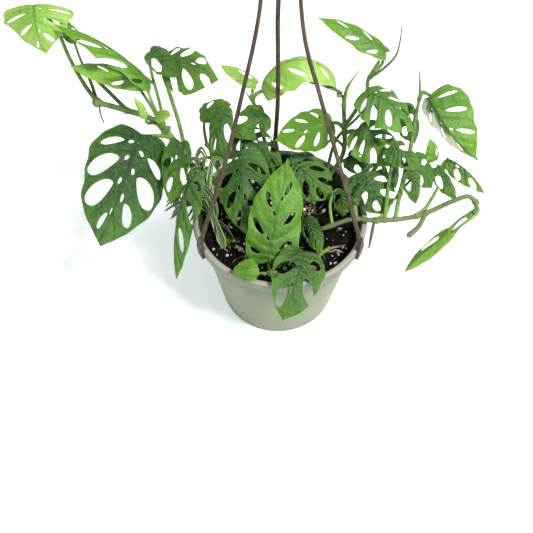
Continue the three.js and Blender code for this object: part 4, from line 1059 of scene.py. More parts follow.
def companion_shape(shape):
    """All leaves of the striped companion, from the lists and from random draws."""
    rng = np.random.default_rng(5)
    for path in SPIDER_BLADES:
        ribbon(shape, path, half=3.0, folded=0.4)
        if path[-1][0] <= OVER_RIM:
            for spread in SIDE_SPREADS:
                ribbon(shape, aside(path, spread, rng, (1, 0.8, 0.5)), half=2.3, folded=0.5)
    ribbon(shape, BROAD_BLADE, half=4.2, folded=0.3, across=BROAD_ACROSS)
    for path in CURLED_BLADES:
        ribbon(shape, path, half=3.6, folded=0.35)
    for direction in np.linspace(*TUFT_TURNS, TUFT_COUNT):
        tuft_leaf(shape, direction, rng)
    for path in NARROW_BLADES:
        for spread in NARROW_SPREADS:
            ribbon(shape, aside(path, spread, rng), half=2.2, folded=0.4)


# ------------------------------------------------------------------ pot and soil
def pot_shape(shape):
    """The pot's profile with rounded corners, once round the axis; its first mark is 1 on
    the inside, which lies nearer the axis than the middle of the wall."""
    profile = soften(POT_PROFILE, 0.8, 3)
    stretches = []
    for start, end in zip(profile[:-1], profile[1:]):
        steps = 2 + int(np.linalg.norm(end - start) // 6)
        stretches.append(np.linspace(start, end, steps)[:-1])
    middle = np.concatenate([*stretches, profile[-1:]])

    def inside(points):
        radius, high = np.hypot(points[:, 0], points[:, 1]), points[:, 2]
        return np.outer((radius < WALL_FOOT + WALL_SLOPE * high) & (high > 2), (1, 0, 0, 0))

    revolve(shape, middle, 144, inside)


def soil_height(x, y):
    """Height of the soil's top: a low dome with two slow waves round the axis."""
    r, a = np.hypot(x, y), np.arctan2(y, x)
    dome = np.interp(r, *zip(*SOIL_DOME))
    return dome + 1.5 * np.sin(3 * a + r / 9) + 1.1 * np.sin(5 * a - r / 6 + 2)


def soil_shape(shape, grain):
    """The soil's body: bottom and wall follow the pot's inside, and the top is the dome
    with sums of sine waves of 15 mm, 6 mm and 3 mm, which fade out at the pot's wall."""
    profile = [*SOIL_WALL, *((r, SOIL_RIM) for r in np.linspace(SOIL_EDGE, 0, 60))]

    def lift(points):
        radius = np.hypot(points[:, 0], points[:, 1])
        top = (points[:, 2] > SOIL_RIM - 1) & (radius < SOIL_EDGE + 0.1)
        flat = points * [1, 1, 0]
        fade = np.clip((SOIL_EDGE - radius) / 3, 0, 1)
        rough = waves(flat, 15, 1) * 0.5 + waves(flat, 6, 2) * 0.45 + waves(flat, 3, 3) * 0.3
        height = soil_height(points[:, 0], points[:, 1]) - SOIL_RIM + grain * rough * fade
        return np.where(top, height, 0)

    revolve(shape, profile, 160, BARE, lift)


def lump():
    """Unit ball of 32 flat faces: an octahedron with each face split into four."""
    p = np.array([[1, 0, 0], [-1, 0, 0], [0, 1, 0], [0, -1, 0], [0, 0, 1], [0, 0, -1]], float)
    f = np.array([[0, 2, 4], [2, 1, 4], [1, 3, 4], [3, 0, 4],
                  [2, 0, 5], [1, 2, 5], [3, 1, 5], [0, 3, 5]])
    a, b, c = p[f[:, 0]], p[f[:, 1]], p[f[:, 2]]
    ab, bc, ca = (a + b) / 2, (b + c) / 2, (a + c) / 2
    corners = np.stack([a, ab, ca, ab, b, bc, ca, bc, c, ab, bc, ca], 1)
    q, where = np.unique(np.round(unit(corners.reshape(-1, 3)) * 1e5), axis=0, return_inverse=True)
    return unit(q), where.reshape(-1, 3)


def shaded(rng, count, size):
    """Marks of count bits with size points each: the third is the bit's own random shade."""
    values = np.zeros((count, size, 4))
    values[..., 2] = rng.uniform(0, 1, count)[:, None]
    return values.reshape(-1, 4)


def scatter(shape, seed, count, span, flat, spread, sunk, keep=None):
    """Many small lumps lying on the soil: each is the unit ball with its corners moved by
    up to a third, stretched to its own three lengths, tilted, turned about the upright and
    sunk a little way into the soil. span holds the least and greatest size, flat the share
    of it along each axis, spread the radius that they lie in, and keep picks some by place."""
    rng = np.random.default_rng(seed)
    p, f = lump()
    radius = spread * np.sqrt(rng.uniform(0, 1, count))
    a = rng.uniform(0, TAU, count)
    x, y = radius * np.cos(a), radius * np.sin(a)
    if keep is not None:
        kept = keep(x, y)
        x, y = x[kept], y[kept]
        count = len(x)
    size = span[0] + (span[1] - span[0]) * rng.uniform(0, 1, count) ** 2
    lengths = size[:, None] * rng.uniform(0.65, 1.15, (count, 3)) * np.asarray(flat)
    corners = p[None] * (1 + rng.uniform(-0.3, 0.3, (count, len(p), 1)))
    corners = corners * lengths[:, None] / 2
    turn, tilt = rng.uniform(0, TAU, count), rng.normal(0, 0.5, count)
    c, s = np.cos(tilt)[:, None], np.sin(tilt)[:, None]
    px, py, pz = corners[..., 0], corners[..., 1], corners[..., 2]
    py, pz = c * py - s * pz, s * py + c * pz
    c, s = np.cos(turn)[:, None], np.sin(turn)[:, None]
    px, py = c * px - s * py, s * px + c * py
    base = soil_height(x, y) + lengths[:, 2] * (0.5 - sunk)
    points = np.stack([px + x[:, None], py + y[:, None], pz + base[:, None]], -1)
    faces = f[None] + (np.arange(count) * len(p))[:, None, None]
    shape.add(points, [faces.reshape(-1, 3)], shaded(rng, count, len(p)))


def fibre(shape, seed, count, centre, spread, length, radius, shade):
    """Dry fibres: short bent rods of five stations lying on the soil, each a straight run
    with a sideways bend. Their middles lie at most 55 mm from the axis."""
    rng = np.random.default_rng(seed)
    for _ in range(count):
        x, y = np.asarray(centre) + rng.normal(0, 1, 2) * spread
        a = rng.uniform(0, TAU)
        run = np.linspace(-0.5, 0.5, 5)
        bend = rng.uniform(-0.25, 0.25) * (1 - (2 * run) ** 2)
        size = length * rng.uniform(0.6, 1.3)
        x, y = np.array([x, y]) * min(1, 55 / math.hypot(x, y))
        px = x + size * (run * math.cos(a) - bend * math.sin(a))
        py = y + size * (run * math.sin(a) + bend * math.cos(a))
        pz = soil_height(px, py) + radius + 0.4 + rng.uniform(0, 0.8) * (run + 0.5) * 3
        wide = radius * np.array([0.6, 1, 1, 0.9, 0.5])
        tube(shape, np.stack([px, py, pz, wide], -1), (0, 0, shade, 0), sides=6, steps=2)


def moss(shape, seed, count, spread):
    """Moss tuft: many small pointed leaves, each a flat four-sided spindle leaning out from
    the tuft's middle."""
    rng = np.random.default_rng(seed)
    away = rng.normal(0, spread, (count, 2))
    root = np.asarray(MOSS_PLACE) + away
    lean = np.column_stack([away / spread * 0.55 + rng.normal(0, 0.35, (count, 2)), np.ones(count)])
    tip = unit(lean) * rng.uniform(3.0, 6.0, (count, 1))
    base = np.column_stack([root, soil_height(root[:, 0], root[:, 1]) - 0.5])
    side = unit(np.cross(tip, rng.normal(0, 1, (count, 3))))
    other = unit(np.cross(tip, side))
    belt = base + 0.45 * tip
    points = np.stack([base, belt + 1.1 * side, belt + 0.2 * other, belt - 1.1 * side,
                       belt - 0.2 * other, base + tip], 1)
    f = np.array([[0, 2, 1], [0, 3, 2], [0, 4, 3], [0, 1, 4],
                  [5, 1, 2], [5, 2, 3], [5, 3, 4], [5, 4, 1]])
    faces = f[None] + (np.arange(count) * 6)[:, None, None]
    shape.add(points, [faces.reshape(-1, 3)], shaded(rng, count, 6))


# ------------------------------------------------------------------ hanger
def slab(shape, outline, widths, place, bevel):
    """Plate: a closed outline (across, up) carried sideways between -1 and 1 times the half
    width that widths, as (across or up, half width), gives each of its points; near both
    sides the outline shrinks by a quarter circle."""
    p = np.asarray(outline, float)
    after = np.roll(p, -1, axis=0) - np.roll(p, 1, axis=0)
    turn = np.sign(np.sum(p[:, 0] * np.roll(p[:, 1], -1) - np.roll(p[:, 0], -1) * p[:, 1]))
    outward = unit(np.stack([after[:, 1], -after[:, 0]], -1)) * turn
    a = np.radians([0, 30, 60, 90])
    inset = np.concatenate([1 - np.sin(a), (1 - np.sin(a))[::-1]]) * bevel
    shift = np.concatenate([1 - np.cos(a), (np.cos(a) - 1)[::-1]]) * bevel
    reach = np.repeat([-1, 1], 4)
    line = p[None] - outward[None] * inset[:, None, None]
    y = reach[:, None] * widths[None] + shift[:, None]
    points = place(np.concatenate([line, y[..., None]], -1).reshape(-1, 3))
    n, m = len(inset), len(p)
    shape.add(points, [quads(n, m, True), *ends(n, m)], BARE)


def around(azimuth, x=0):
    """Placing rule for a plate that stands in the upright plane at an azimuth: its points
    (radius, height, sideways) turn about the upright axis at x."""
    c, s = cos_sin(azimuth)
    turn = np.array([[c, s, 0], [0, 0, 1], [-s, c, 0]])
    return lambda points: points @ turn + [x, 0, 0]


def strand_stations(azimuth):
    """Centre line of a strand: it turns with its azimuth, and above the leaves it leans
    over towards the hub by a power of the height."""
    line = np.array(STRAND_LINE)
    rise = np.clip((line[:, 1] - LEAN_FROM) / LEAN_OVER, 0, None)
    lean = HUB_X * np.minimum(1, rise ** 1.3)
    c, s = cos_sin(azimuth)
    return np.stack([line[:, 0] * c + lean, line[:, 0] * s, line[:, 1], line[:, 2]], -1)


def strand_shape(shape, azimuth):
    """A strand with its clip: the rod, a bracket that widens down to 9 mm, a plate outside
    the rim band and a lip that turns in under it."""
    c, s = cos_sin(azimuth)
    tube(shape, strand_stations(azimuth), BARE, sides=16, steps=8, wide=STRAND_WIDE,
         across=(-s, c, 0))
    plate = soften(CLIP_PLATE, 0.5, 2, closed=True)
    half = np.interp(plate[:, 1], *zip(*CLIP_HALF))
    slab(shape, plate, half, around(azimuth), bevel=0.4)


def hub_shape(shape):
    """Hub and hook: a turned core with a rounded edge, three arms with a socket each and
    the rod of the hook, whose free end is a little thinner."""
    core = Shape()
    revolve(core, soften(HUB_CORE, 0.6), 48, BARE)
    shape.add(core.points[0] + [HUB_X, 0, 0], core.faces, BARE)
    for azimuth in STRAND_AZIMUTHS.values():
        arm = soften(HUB_ARM, 0.9, 3, closed=True)
        half = np.interp(arm[:, 0], *zip(*ARM_HALF))
        slab(shape, arm, half, around(azimuth, HUB_X), bevel=0.8)
    hook = [(HUB_X + x, y, HOOK_Z + z, r) for x, y, z, r in HOOK_LINE]
    tube(shape, hook, BARE, sides=20, steps=10, across=(0, 1, 0))


# ------------------------------------------------------------------ materials
class Value:
    """A socket that varies over a surface, with the arithmetic signs."""

    def __init__(self, paint, socket):
        self.paint = paint
        self.socket = socket

    def __add__(self, other):
        return self.paint.maths("ADD", self, other)

    __radd__ = __add__

    def __mul__(self, other):
        return self.paint.maths("MULTIPLY", self, other)

    __rmul__ = __mul__

    def __sub__(self, other):
        return self.paint.maths("SUBTRACT", self, other)

    def __rsub__(self, other):
        return self.paint.maths("SUBTRACT", other, self)

    def step(self, low, high):
        """0 below low, 1 above high and a smooth rise between them."""
        return self.paint.node("ShaderNodeMapRange", {"interpolation_type": "SMOOTHSTEP"},
                               {"Value": self, "From Min": low, "From Max": high})


class Paint:
    """A material under construction, with its one shader."""

    def __init__(self, name):
        self.material = bpy.data.materials.new(name)
        self.material.use_nodes = True
        self.tree = self.material.node_tree
        self.shader = self.tree.nodes["Principled BSDF"]

    def node(self, kind, settings=None, values=None, output=0):
        """Add a node: its settings first, then values or links for its sockets."""
        node = self.tree.nodes.new(kind)
        for key, value in (settings or {}).items():
            setattr(node, key, value)
        for key, value in (values or {}).items():
            if isinstance(value, Value):
                self.tree.links.new(value.socket, node.inputs[key])
            else:
                node.inputs[key].default_value = value
        return Value(self, node.outputs[output])

    def maths(self, operation, *terms):
        """Add a Math node with the terms in order."""
        return self.node("ShaderNodeMath", {"operation": operation}, dict(enumerate(terms)))

    def place(self):
        """The object's own coordinates, in metres."""
        return self.node("ShaderNodeTexCoord", output="Object")

    def stretched(self, scale):
        """The object's own coordinates times a scale for each axis."""
        return self.node("ShaderNodeVectorMath", {"operation": "MULTIPLY"},
                         {0: self.place(), 1: scale})

    def noise(self, scale, detail, rough=0.5, vector=None):
        """Noise from 0 to 1 with scale waves to the metre."""
        return self.node("ShaderNodeTexNoise", None, {
            "Vector": vector or self.place(), "Scale": scale, "Detail": detail, "Roughness": rough})

    def cells(self, scale, feature="F1", vector=None):
        """Distance to the nearest of scattered points, scale of them to the metre."""
        return self.node("ShaderNodeTexVoronoi", {"feature": feature},
                         {"Vector": vector or self.place(), "Scale": scale})

    def split(self, kind, whole):
        """The three parts of a colour or of a vector."""
        first = self.node(kind, None, {0: whole})
        return tuple(Value(self, first.socket.node.outputs[k]) for k in range(3))

    def marks(self):
        """The four marks of the shape."""
        name = {"attribute_name": "marks"}
        parts = self.split("ShaderNodeSeparateColor",
                           self.node("ShaderNodeAttribute", name, output="Color"))
        return (*parts, self.node("ShaderNodeAttribute", name, output="Alpha"))

    def spot(self):
        """The shape's place on its surface, in three values."""
        name = {"attribute_name": "spot"}
        return self.split("ShaderNodeSeparateXYZ",
                          self.node("ShaderNodeAttribute", name, output="Vector"))

    def height(self):
        """How high a point lies, in metres."""
        return self.split("ShaderNodeSeparateXYZ", self.place())[2]

    def mix(self, factor, first, second):
        """Colour between first, at factor 0, and second, at factor 1."""
        values = {0: factor}
        for key, value in ((6, first), (7, second)):
            values[key] = value if isinstance(value, Value) else (*value, 1)
        return self.node("ShaderNodeMix", {"data_type": "RGBA"}, values, output=2)

    def finish(self, base, roughness, bumps=(), **fixed):
        """Link colour and roughness, chain the bumps as (height, strength, distance) and
        set the fixed sockets."""
        for key, value in (("Base Color", base), ("Roughness", roughness)):
            socket = self.shader.inputs[key]
            if isinstance(value, Value):
                self.tree.links.new(value.socket, socket)
            else:
                socket.default_value = value
        normal = None
        for height, strength, distance in bumps:
            values = {"Height": height, "Strength": strength, "Distance": distance}
            if normal is not None:
                values["Normal"] = normal
            normal = self.node("ShaderNodeBump", None, values)
        if normal is not None:
            self.tree.links.new(normal.socket, self.shader.inputs["Normal"])
        for key, value in fixed.items():
            self.shader.inputs[key.replace("_", " ")].default_value = value
        return self.material


def mixed(first, second, share):
    """Colour numbers between first and second."""
    return tuple(a + (b - a) * share for a, b in zip(first, second))


def darker(colour_numbers, share):
    """Colour numbers times a share."""
    return tuple(c * share for c in colour_numbers)


# Tints that leaves, stripes and plastic take on in part.
TIP_TINT = (0.17, 0.3, 0.02)
MARGIN_TINT = (0.07, 0.25, 0.012)
VEIN_TINT = (0.5, 0.6, 0.3)
DRY_TINT = (0.45, 0.42, 0.16)
SPOT_TINT = (0.16, 0.12, 0.04)
UNDER_TINT = (0.3, 0.42, 0.26)
HAZE_TINT = (0.6, 0.66, 0.5)
BAND_TINT = (0.12, 0.2, 0.19)
# Painted light on the top of the pot's rim.
PAINTED_RIM_LIGHT = (0.42, 0.5, 0.45)
RUST_TINT = (0.62, 0.36, 0.2)
SCRATCH_TINT = (0.7, 0.72, 0.62)

# Heights in metres over which each zone of the pot or of the hanger begins or ends.
FOOT_ENDS = (0.0005, 0.004)
GRIME_ENDS = (0.0, 0.03)
SHADE_BEGINS = (0.072, 0.104)
SHADE_ENDS = (0.1124, 0.1128)
BAND_BEGINS = (0.1125, 0.1135)
INSIDE_SHADE_ENDS = (0.119, 0.1222)
RIM_BEGINS = (0.1205, 0.1222)
CLIP_WEAR_ENDS = (0.118, 0.142)


def leaf_tones(c, age):
    """Dark and light tone of a leaf: from mature to young as it is newer, and for the newer
    half of ages the light one goes on to the palest."""
    dark = mixed(c.mature, c.young, age)
    if age > 0.5:
        return dark, mixed(c.young, c.young_light, 2 * age - 1)
    return dark, mixed(c.mature_light, c.young, 2 * age)


def leaf_paint(c, age):
    """Leaf: dark bluish green beside the midrib, lighter and yellower outwards and at the
    tip, with clouds, mottling, fine side lines, a net of quilting, thin pale veins, painted shade
    in the sunken midrib, a dry margin and a matt paler underside. A newer leaf is glossier and less
    uneven."""
    dark, light = leaf_tones(c, age)
    lively = 1 - 0.6 * min(1, 2.2 * age)
    p = Paint(f"leaf_skin_{round(age * 100)}")
    vein, streak, tint, upper = p.marks()
    s, r, cut = p.spot()
    outward = r.step(0.1, 1.0) * 0.3 + s.step(0.3, 1.0) * 0.3
    cloud = p.noise(34, 3, 0.6).step(0.36, 0.66)
    mottle = p.noise(240, 4, 0.65).step(0.3, 0.75)
    patchy = (cloud * 0.34 + mottle * 0.2) * lively + 0.06 * (1 - lively)
    base = p.mix(patchy + tint * 0.12 + outward, darker(dark, 0.85), light)
    base = p.mix(s.step(0.6, 1.0) * 0.35, base, mixed(light, TIP_TINT, 0.6))
    base = p.mix(r.step(0.4, 1.0) * (0.45 * lively), base, mixed(light, MARGIN_TINT, 0.5))
    ribs = p.maths("SINE", s * 64.0 + p.noise(70, 2) * 6.0)
    base = p.mix(ribs.step(0.2, 1.0) * (0.16 * lively), base, dark)
    net = p.cells(430, "DISTANCE_TO_EDGE")
    base = p.mix((1 - net.step(0.0, 0.14)) * (0.22 * lively), base, darker(dark, 0.8))
    base = p.mix(vein.step(0.55, 1.0) * 0.3, base, mixed(light, VEIN_TINT, 0.25))
    # Painted shade: a dark line along the sunken midrib.
    midrib = (1 - r.step(0.02, 0.06)) * (1 - s.step(0.85, 1.0))
    base = p.mix(midrib * 0.75, base, darker(dark, 0.6))
    edge = r.step(0.972, 1.0)
    edge = edge + (1 - edge) * (1 - cut.step(0.0, 0.12))
    base = p.mix(edge * 0.4, base, mixed(light, DRY_TINT, 0.4))
    spots = p.cells(95).step(0.03, 0.09)
    base = p.mix((1 - spots) * 0.5, base, SPOT_TINT)
    base = p.mix(streak * 0.9, base, c.cream)
    base = p.mix((1 - upper) * 0.8, base, mixed(mixed(dark, light, 0.5), UNDER_TINT, 0.3))
    rough = p.noise(120, 2) * 0.2 + (1 - upper) * 0.2 + (0.38 - 0.04 * age)
    bumps = ((cloud, 0.7 * lively, 0.004), (mottle + net * 1.2, 0.6 * lively, 0.0012),
             (ribs, 0.5 * lively, 0.0007))
    return p.finish(base, rough, bumps, Subsurface_Weight=0.04, Subsurface_Scale=0.002,
                    Subsurface_Radius=(0.4, 1.0, 0.2), Specular_IOR_Level=0.38)


def stem_paint(c):
    """Stem: old parts grey-green with brown rings at the nodes and dry patches, young parts
    plain green, both with long pale streaks; marked branches are dry brown roots, and a cut
    branch is brown at its end."""
    p = Paint("stem_skin")
    _, root, fresh, knot = p.marks()
    streak = p.noise(420, 4, 0.65, p.stretched((1.0, 1.0, 0.22)))
    cloud = p.noise(22, 2).step(0.35, 0.65)
    blot = p.noise(90, 3).step(0.52, 0.7)
    light = streak.step(0.3, 0.75) * 0.5 + cloud * 0.4
    old = p.mix(light, darker(c.stem, 0.45), mixed(c.stem, c.scuff, 0.15))
    young = p.mix(light, darker(c.shoot, 0.4), mixed(c.shoot, c.young_light, 0.4))
    base = p.mix(fresh, old, young)
    ring = knot * (p.noise(300, 3) * 0.8 + 0.4)
    worn = (blot * 0.16 + ring * 0.6) * (1 - fresh * 0.9)
    base = p.mix(worn, base, mixed(c.root, c.scuff, 0.25))
    bark = p.mix(streak, darker(c.root, 0.6), mixed(c.root, c.scuff, 0.35))
    base = p.mix(root, base, bark)
    bumps = ((streak, 0.5, 0.0008), (blot, 0.4, 0.0008), (p.noise(1500, 2), 0.2, 0.0003))
    return p.finish(base, streak * 0.3 + 0.42, bumps, Subsurface_Weight=0.05, Subsurface_Scale=0.002,
                    Specular_IOR_Level=0.35)


def striped_paint(c):
    """Striped grass leaf: green middle, cream margins unless it is marked plain, and fine
    lengthwise lines."""
    p = Paint("striped_leaf")
    across, along, _ = p.spot()
    _, width, plain, _ = p.marks()
    line = p.maths("SINE", across * 34.0)
    green = p.mix(line * 0.25 + p.noise(70, 2), c.mature, mixed(c.mature_light, c.young, 0.25))
    pale = p.mix(p.noise(60, 2).step(0.3, 0.6) * 0.7, darker(mixed(c.cream, c.young_light, 0.4), 0.66),
                 mixed(c.mature_light, c.cream, 0.2))
    base = p.mix(width.step(0.66, 0.84) * (1 - plain), green, pale)
    base = p.mix(along.step(0.93, 1.0) * 0.6, base, c.bark)
    return p.finish(base, 0.42, ((line, 0.25, 0.0002),), Subsurface_Weight=0.1, Subsurface_Scale=0.003)


def pot_paint(c):
    """Moulded pot plastic: faint mottling, vertical drag marks, fine scratches, a bluish band
    with tan lime and rubbing along the rim, painted light on the rim's top, painted shade under
    the band, grime low down, a tan foot and painted shade that darkens the inside."""
    p = Paint("pot_skin")
    high = p.height()
    inner, _, _, _ = p.marks()
    cloud = p.noise(14, 3)
    drag = p.noise(130, 3, 0.6, p.stretched((1.0, 1.0, 0.07)))
    scratch = p.cells(420, "DISTANCE_TO_EDGE", p.stretched((1.0, 1.0, 0.25)))
    base = p.mix(cloud.step(0.3, 0.75) * 0.5 + drag * 0.4, darker(c.pot, 0.82),
                 mixed(c.pot, HAZE_TINT, 0.18))
    rub = p.noise(60, 4, 0.7).step(0.42, 0.6)
    band = high.step(*BAND_BEGINS)
    base = p.mix(band * 0.35, base, mixed(darker(c.pot, 0.6), BAND_TINT, 0.4))
    base = p.mix(band * p.noise(150, 4, 0.7).step(0.58, 0.7) * 0.4, base, c.scuff)
    rim = high.step(*RIM_BEGINS)
    # Painted light: the rim's top is made paler, as where light falls on it.
    base = p.mix(rim * 0.35, base, PAINTED_RIM_LIGHT)
    base = p.mix(rim * rub * 0.6, base, darker(mixed(c.scuff, RUST_TINT, 0.2), 0.75))
    under = high.step(*SHADE_BEGINS) * (1 - high.step(*SHADE_ENDS))
    base = p.mix(under * 0.6, base, darker(c.pot, 0.4))
    # Painted shade: the inside below the rim is darkened nearly to black, with a little bark colour in
    # it.
    inner = inner * (1 - high.step(*INSIDE_SHADE_ENDS))
    base = p.mix(inner * 0.75, base, darker(mixed(c.pot, c.bark, 0.3), 0.16))
    speck = p.cells(75).step(0.0, 0.06)
    base = p.mix((1 - speck) * 0.6, base, darker(c.moss, 0.4))
    grime = 1 - high.step(*GRIME_ENDS)
    base = p.mix(grime * p.noise(40, 4, 0.7) * 0.45, base, darker(c.pot, 0.45))
    foot = 1 - high.step(*FOOT_ENDS)
    base = p.mix(foot * 0.5, base, darker(c.scuff, 0.6))
    lines = (1 - scratch.step(0.0, 0.02)) * p.noise(30, 1).step(0.5, 0.7)
    base = p.mix(lines * 0.18, base, SCRATCH_TINT)
    rough = cloud * 0.14 + drag * 0.12 + rim * rub * 0.2 + 0.36
    return p.finish(base, rough, ((drag, 0.12, 0.0006), (p.noise(900, 3), 0.08, 0.0002)), IOR=1.46)


def hanger_paint(c):
    """Hanger plastic: brown with a lengthwise grain, tan rubbed spots and chalky wear
    towards the clips."""
    p = Paint("hanger_skin")
    high = p.height()
    grain = p.noise(330, 4, 0.6, p.stretched((1.0, 1.0, 0.12)))
    worn = p.noise(160, 4, 0.7).step(0.5, 0.7)
    base = p.mix(grain.step(0.3, 0.7), darker(c.hanger, 0.7), mixed(c.hanger, c.scuff, 0.12))
    low = (1 - high.step(*CLIP_WEAR_ENDS)) * 0.35 + 0.08
    base = p.mix(worn * low, base, c.scuff)
    return p.finish(base, grain * 0.25 + 0.4, ((grain, 0.3, 0.0006),), Specular_IOR_Level=0.22)


def soil_paint(c):
    """Damp soil: near-black with brown and grey grains in two sizes."""
    p = Paint("soil_ground")
    grain = p.noise(700, 5, 0.75)
    clod = p.cells(210)
    base = p.mix(grain.step(0.4, 0.8) * 0.8, darker(c.soil, 0.6), mixed(c.soil, c.bark, 0.12))
    base = p.mix(clod.step(0.8, 0.98) * 0.1, base, mixed(c.bark, c.perlite, 0.2))
    bumps = ((grain, 0.9, 0.002), (clod, 0.6, 0.002))
    return p.finish(base, grain * 0.3 + 0.6, bumps, Specular_IOR_Level=0.12)


def grain_paint(name, dark, light, scale, rough):
    """Loose bits: each bit has its own shade, with noise over it."""
    p = Paint(name)
    _, _, shade, _ = p.marks()
    grain = p.noise(scale, 4, 0.7)
    base = p.mix(shade * 0.55 + grain * 0.45, dark, light)
    return p.finish(base, grain * 0.2 + rough, ((grain, 0.6, 0.0006),), Specular_IOR_Level=0.15)


# ------------------------------------------------------------------ operators
def plant_sizes():
    """The scene's size settings."""
    return bpy.context.scene.plant_sizes


def plant_colours():
    """The scene's colour settings."""
    return bpy.context.scene.plant_colours


class PLANT_OT_leaves(bpy.types.Operator):
    """Build every leaf blade as a piece of its own"""
    bl_idname = "plant.leaves"
    bl_label = "Leaves"

    def execute(self, context):
        paints = {}
        for name, leaf in LEAVES.items():
            if leaf.age not in paints:
                paints[leaf.age] = leaf_paint(plant_colours(), leaf.age)
            shape = Shape()
            blade(shape, name, leaf, plant_sizes())
            shape.make(f"{name}_blade", paints[leaf.age], leaf.tone, (name,), sharp=50)
        return {"FINISHED"}


class PLANT_OT_stems(bpy.types.Operator):
    """Build the vines with their leaf stalks, nodes and air roots"""
    bl_idname = "plant.stems"
    bl_label = "Stems"

    def execute(self, context):
        paint = stem_paint(plant_colours())
        for vine, branches in STEMS.items():
            shape = Shape()
            stalks = [stalk(leaf) for leaf in LEAVES.values() if leaf.vine == vine]
            feet = [line[0][:3] for line in (*branches[1:], *stalks)]
            for k, branch in enumerate(branches):
                dry = 1.0 if k in ROOT_BRANCHES.get(vine, ()) else 0.0
                end = 1.0 if k in CUT_BRANCHES.get(vine, ()) else 0.0
                fresh = 0.0 if k in OLD_BRANCHES.get(vine, ()) else 0.85
                tube(shape, branch, (0, dry, fresh, end), sides=16, steps=10, knots=() if dry else feet)
            for line in stalks:
                tube(shape, line, (0, 0, 1, 0), sides=12, steps=8)
            shape.make(f"{vine}_stem", paint, "stem_green", (vine,))
        return {"FINISHED"}


class PLANT_OT_companion(bpy.types.Operator):
    """Build the small striped companion plant"""
    bl_idname = "plant.companion"
    bl_label = "Striped companion"

    def execute(self, context):
        shape = Shape()
        companion_shape(shape)
        paint = striped_paint(plant_colours())
        shape.make("spider_plant_leaves", paint, "leaf_variegated", ("spider_plant",))
        return {"FINISHED"}


class PLANT_OT_pot(bpy.types.Operator):
    """Build the pot"""
    bl_idname = "plant.pot"
    bl_label = "Pot"

    def execute(self, context):
        shape = Shape()
        pot_shape(shape)
        shape.make("pot_wall", pot_paint(plant_colours()), "pot_plastic", ("pot",))
        return {"FINISHED"}


class PLANT_OT_soil(bpy.types.Operator):
    """Build the soil with its grains, perlite, bark, twigs and moss"""
    bl_idname = "plant.soil"
    bl_label = "Soil"

    def execute(self, context):
        c = plant_colours()
        ground = Shape()
        soil_shape(ground, plant_sizes().pebble / MM)
        ground.make("soil_body", soil_paint(c), "potting_soil", ("soil",), sharp=80)
        crumbs = Shape()
        scatter(crumbs, seed=11, count=2600, span=(1.2, 5.0), flat=(1, 1, 0.75), spread=69,
                sunk=0.35)
        crumb = grain_paint("soil_crumb", darker(c.soil, 0.6), mixed(c.soil, c.bark, 0.04), 900, 0.6)
        crumbs.make("soil_crumbs", crumb, "potting_soil", sharp=30)
        perlite = Shape()
        x0, y0, patch = PERLITE_PATCH
        scatter(perlite, seed=12, count=230, span=(1.3, 5.4), flat=(1, 1, 0.8), spread=67, sunk=0.2)
        scatter(perlite, seed=19, count=2200, span=(0.9, 2.6), flat=(1, 1, 0.8), spread=50, sunk=0.2,
                keep=lambda x, y: np.hypot(x - x0, y - y0) < patch)
        white = grain_paint("perlite_grain", darker(c.perlite, 0.6), c.perlite, 800, 0.7)
        perlite.make("soil_perlite", white, "potting_soil", sharp=30)
        bark = Shape()
        scatter(bark, seed=13, count=70, span=(3.0, 8.0), flat=(1.3, 0.55, 0.28), spread=66,
                sunk=0.3)
        fibre(bark, seed=14, count=30, centre=(24, 28), spread=9, length=15, radius=0.35, shade=0.6)
        fibre(bark, seed=15, count=22, centre=(0, -20), spread=30, length=13, radius=0.3, shade=0.2)
        for twig in TWIGS:
            tube(bark, twig, (0, 0, 0.9, 0), sides=8, steps=5)
        chip = grain_paint("bark_chip", darker(c.bark, 0.35), mixed(c.bark, c.scuff, 0.8), 500, 0.6)
        bark.make("soil_bark", chip, "potting_soil", sharp=30)
        tuft = Shape()
        moss(tuft, seed=17, count=70, spread=2.8)
        green = mixed(c.moss, c.young_light, 0.3)
        leafy = grain_paint("moss_leaf", darker(c.moss, 0.6), green, 400, 0.6)
        tuft.make("soil_moss", leafy, "leaf_young", sharp=30)
        return {"FINISHED"}


class PLANT_OT_hanger(bpy.types.Operator):
    """Build the three strands with their clips, the hub and the hook"""
    bl_idname = "plant.hanger"
    bl_label = "Hanger"

    def execute(self, context):
        paint = hanger_paint(plant_colours())
        for side, azimuth in STRAND_AZIMUTHS.items():
            shape = Shape()
            strand_shape(shape, azimuth)
            shape.make(f"strand_{side}", paint, "hanger_plastic", (f"hanger_strand_{side}",))
        shape = Shape()
        hub_shape(shape)
        shape.make("hub_and_hook", paint, "hanger_plastic", ("hanger_hook",))
        return {"FINISHED"}


def aimed(place, target):
    """Turn that points the -Z axis of something at a place towards its target."""
    return (Vector(target) - Vector(place)).to_track_quat("-Z", "Y")


def lamp(name, place, target, size, power, tint):
    """Square soft light that looks at a target; places and size in metres, power in watts."""
    data = bpy.data.lights.new(name, "AREA")
    data.size = size
    data.energy = power
    data.color = tint
    light = bpy.data.objects.new(name, data)
    light.location = place
    light.rotation_euler = aimed(place, target).to_euler()
    bpy.context.scene.collection.objects.link(light)


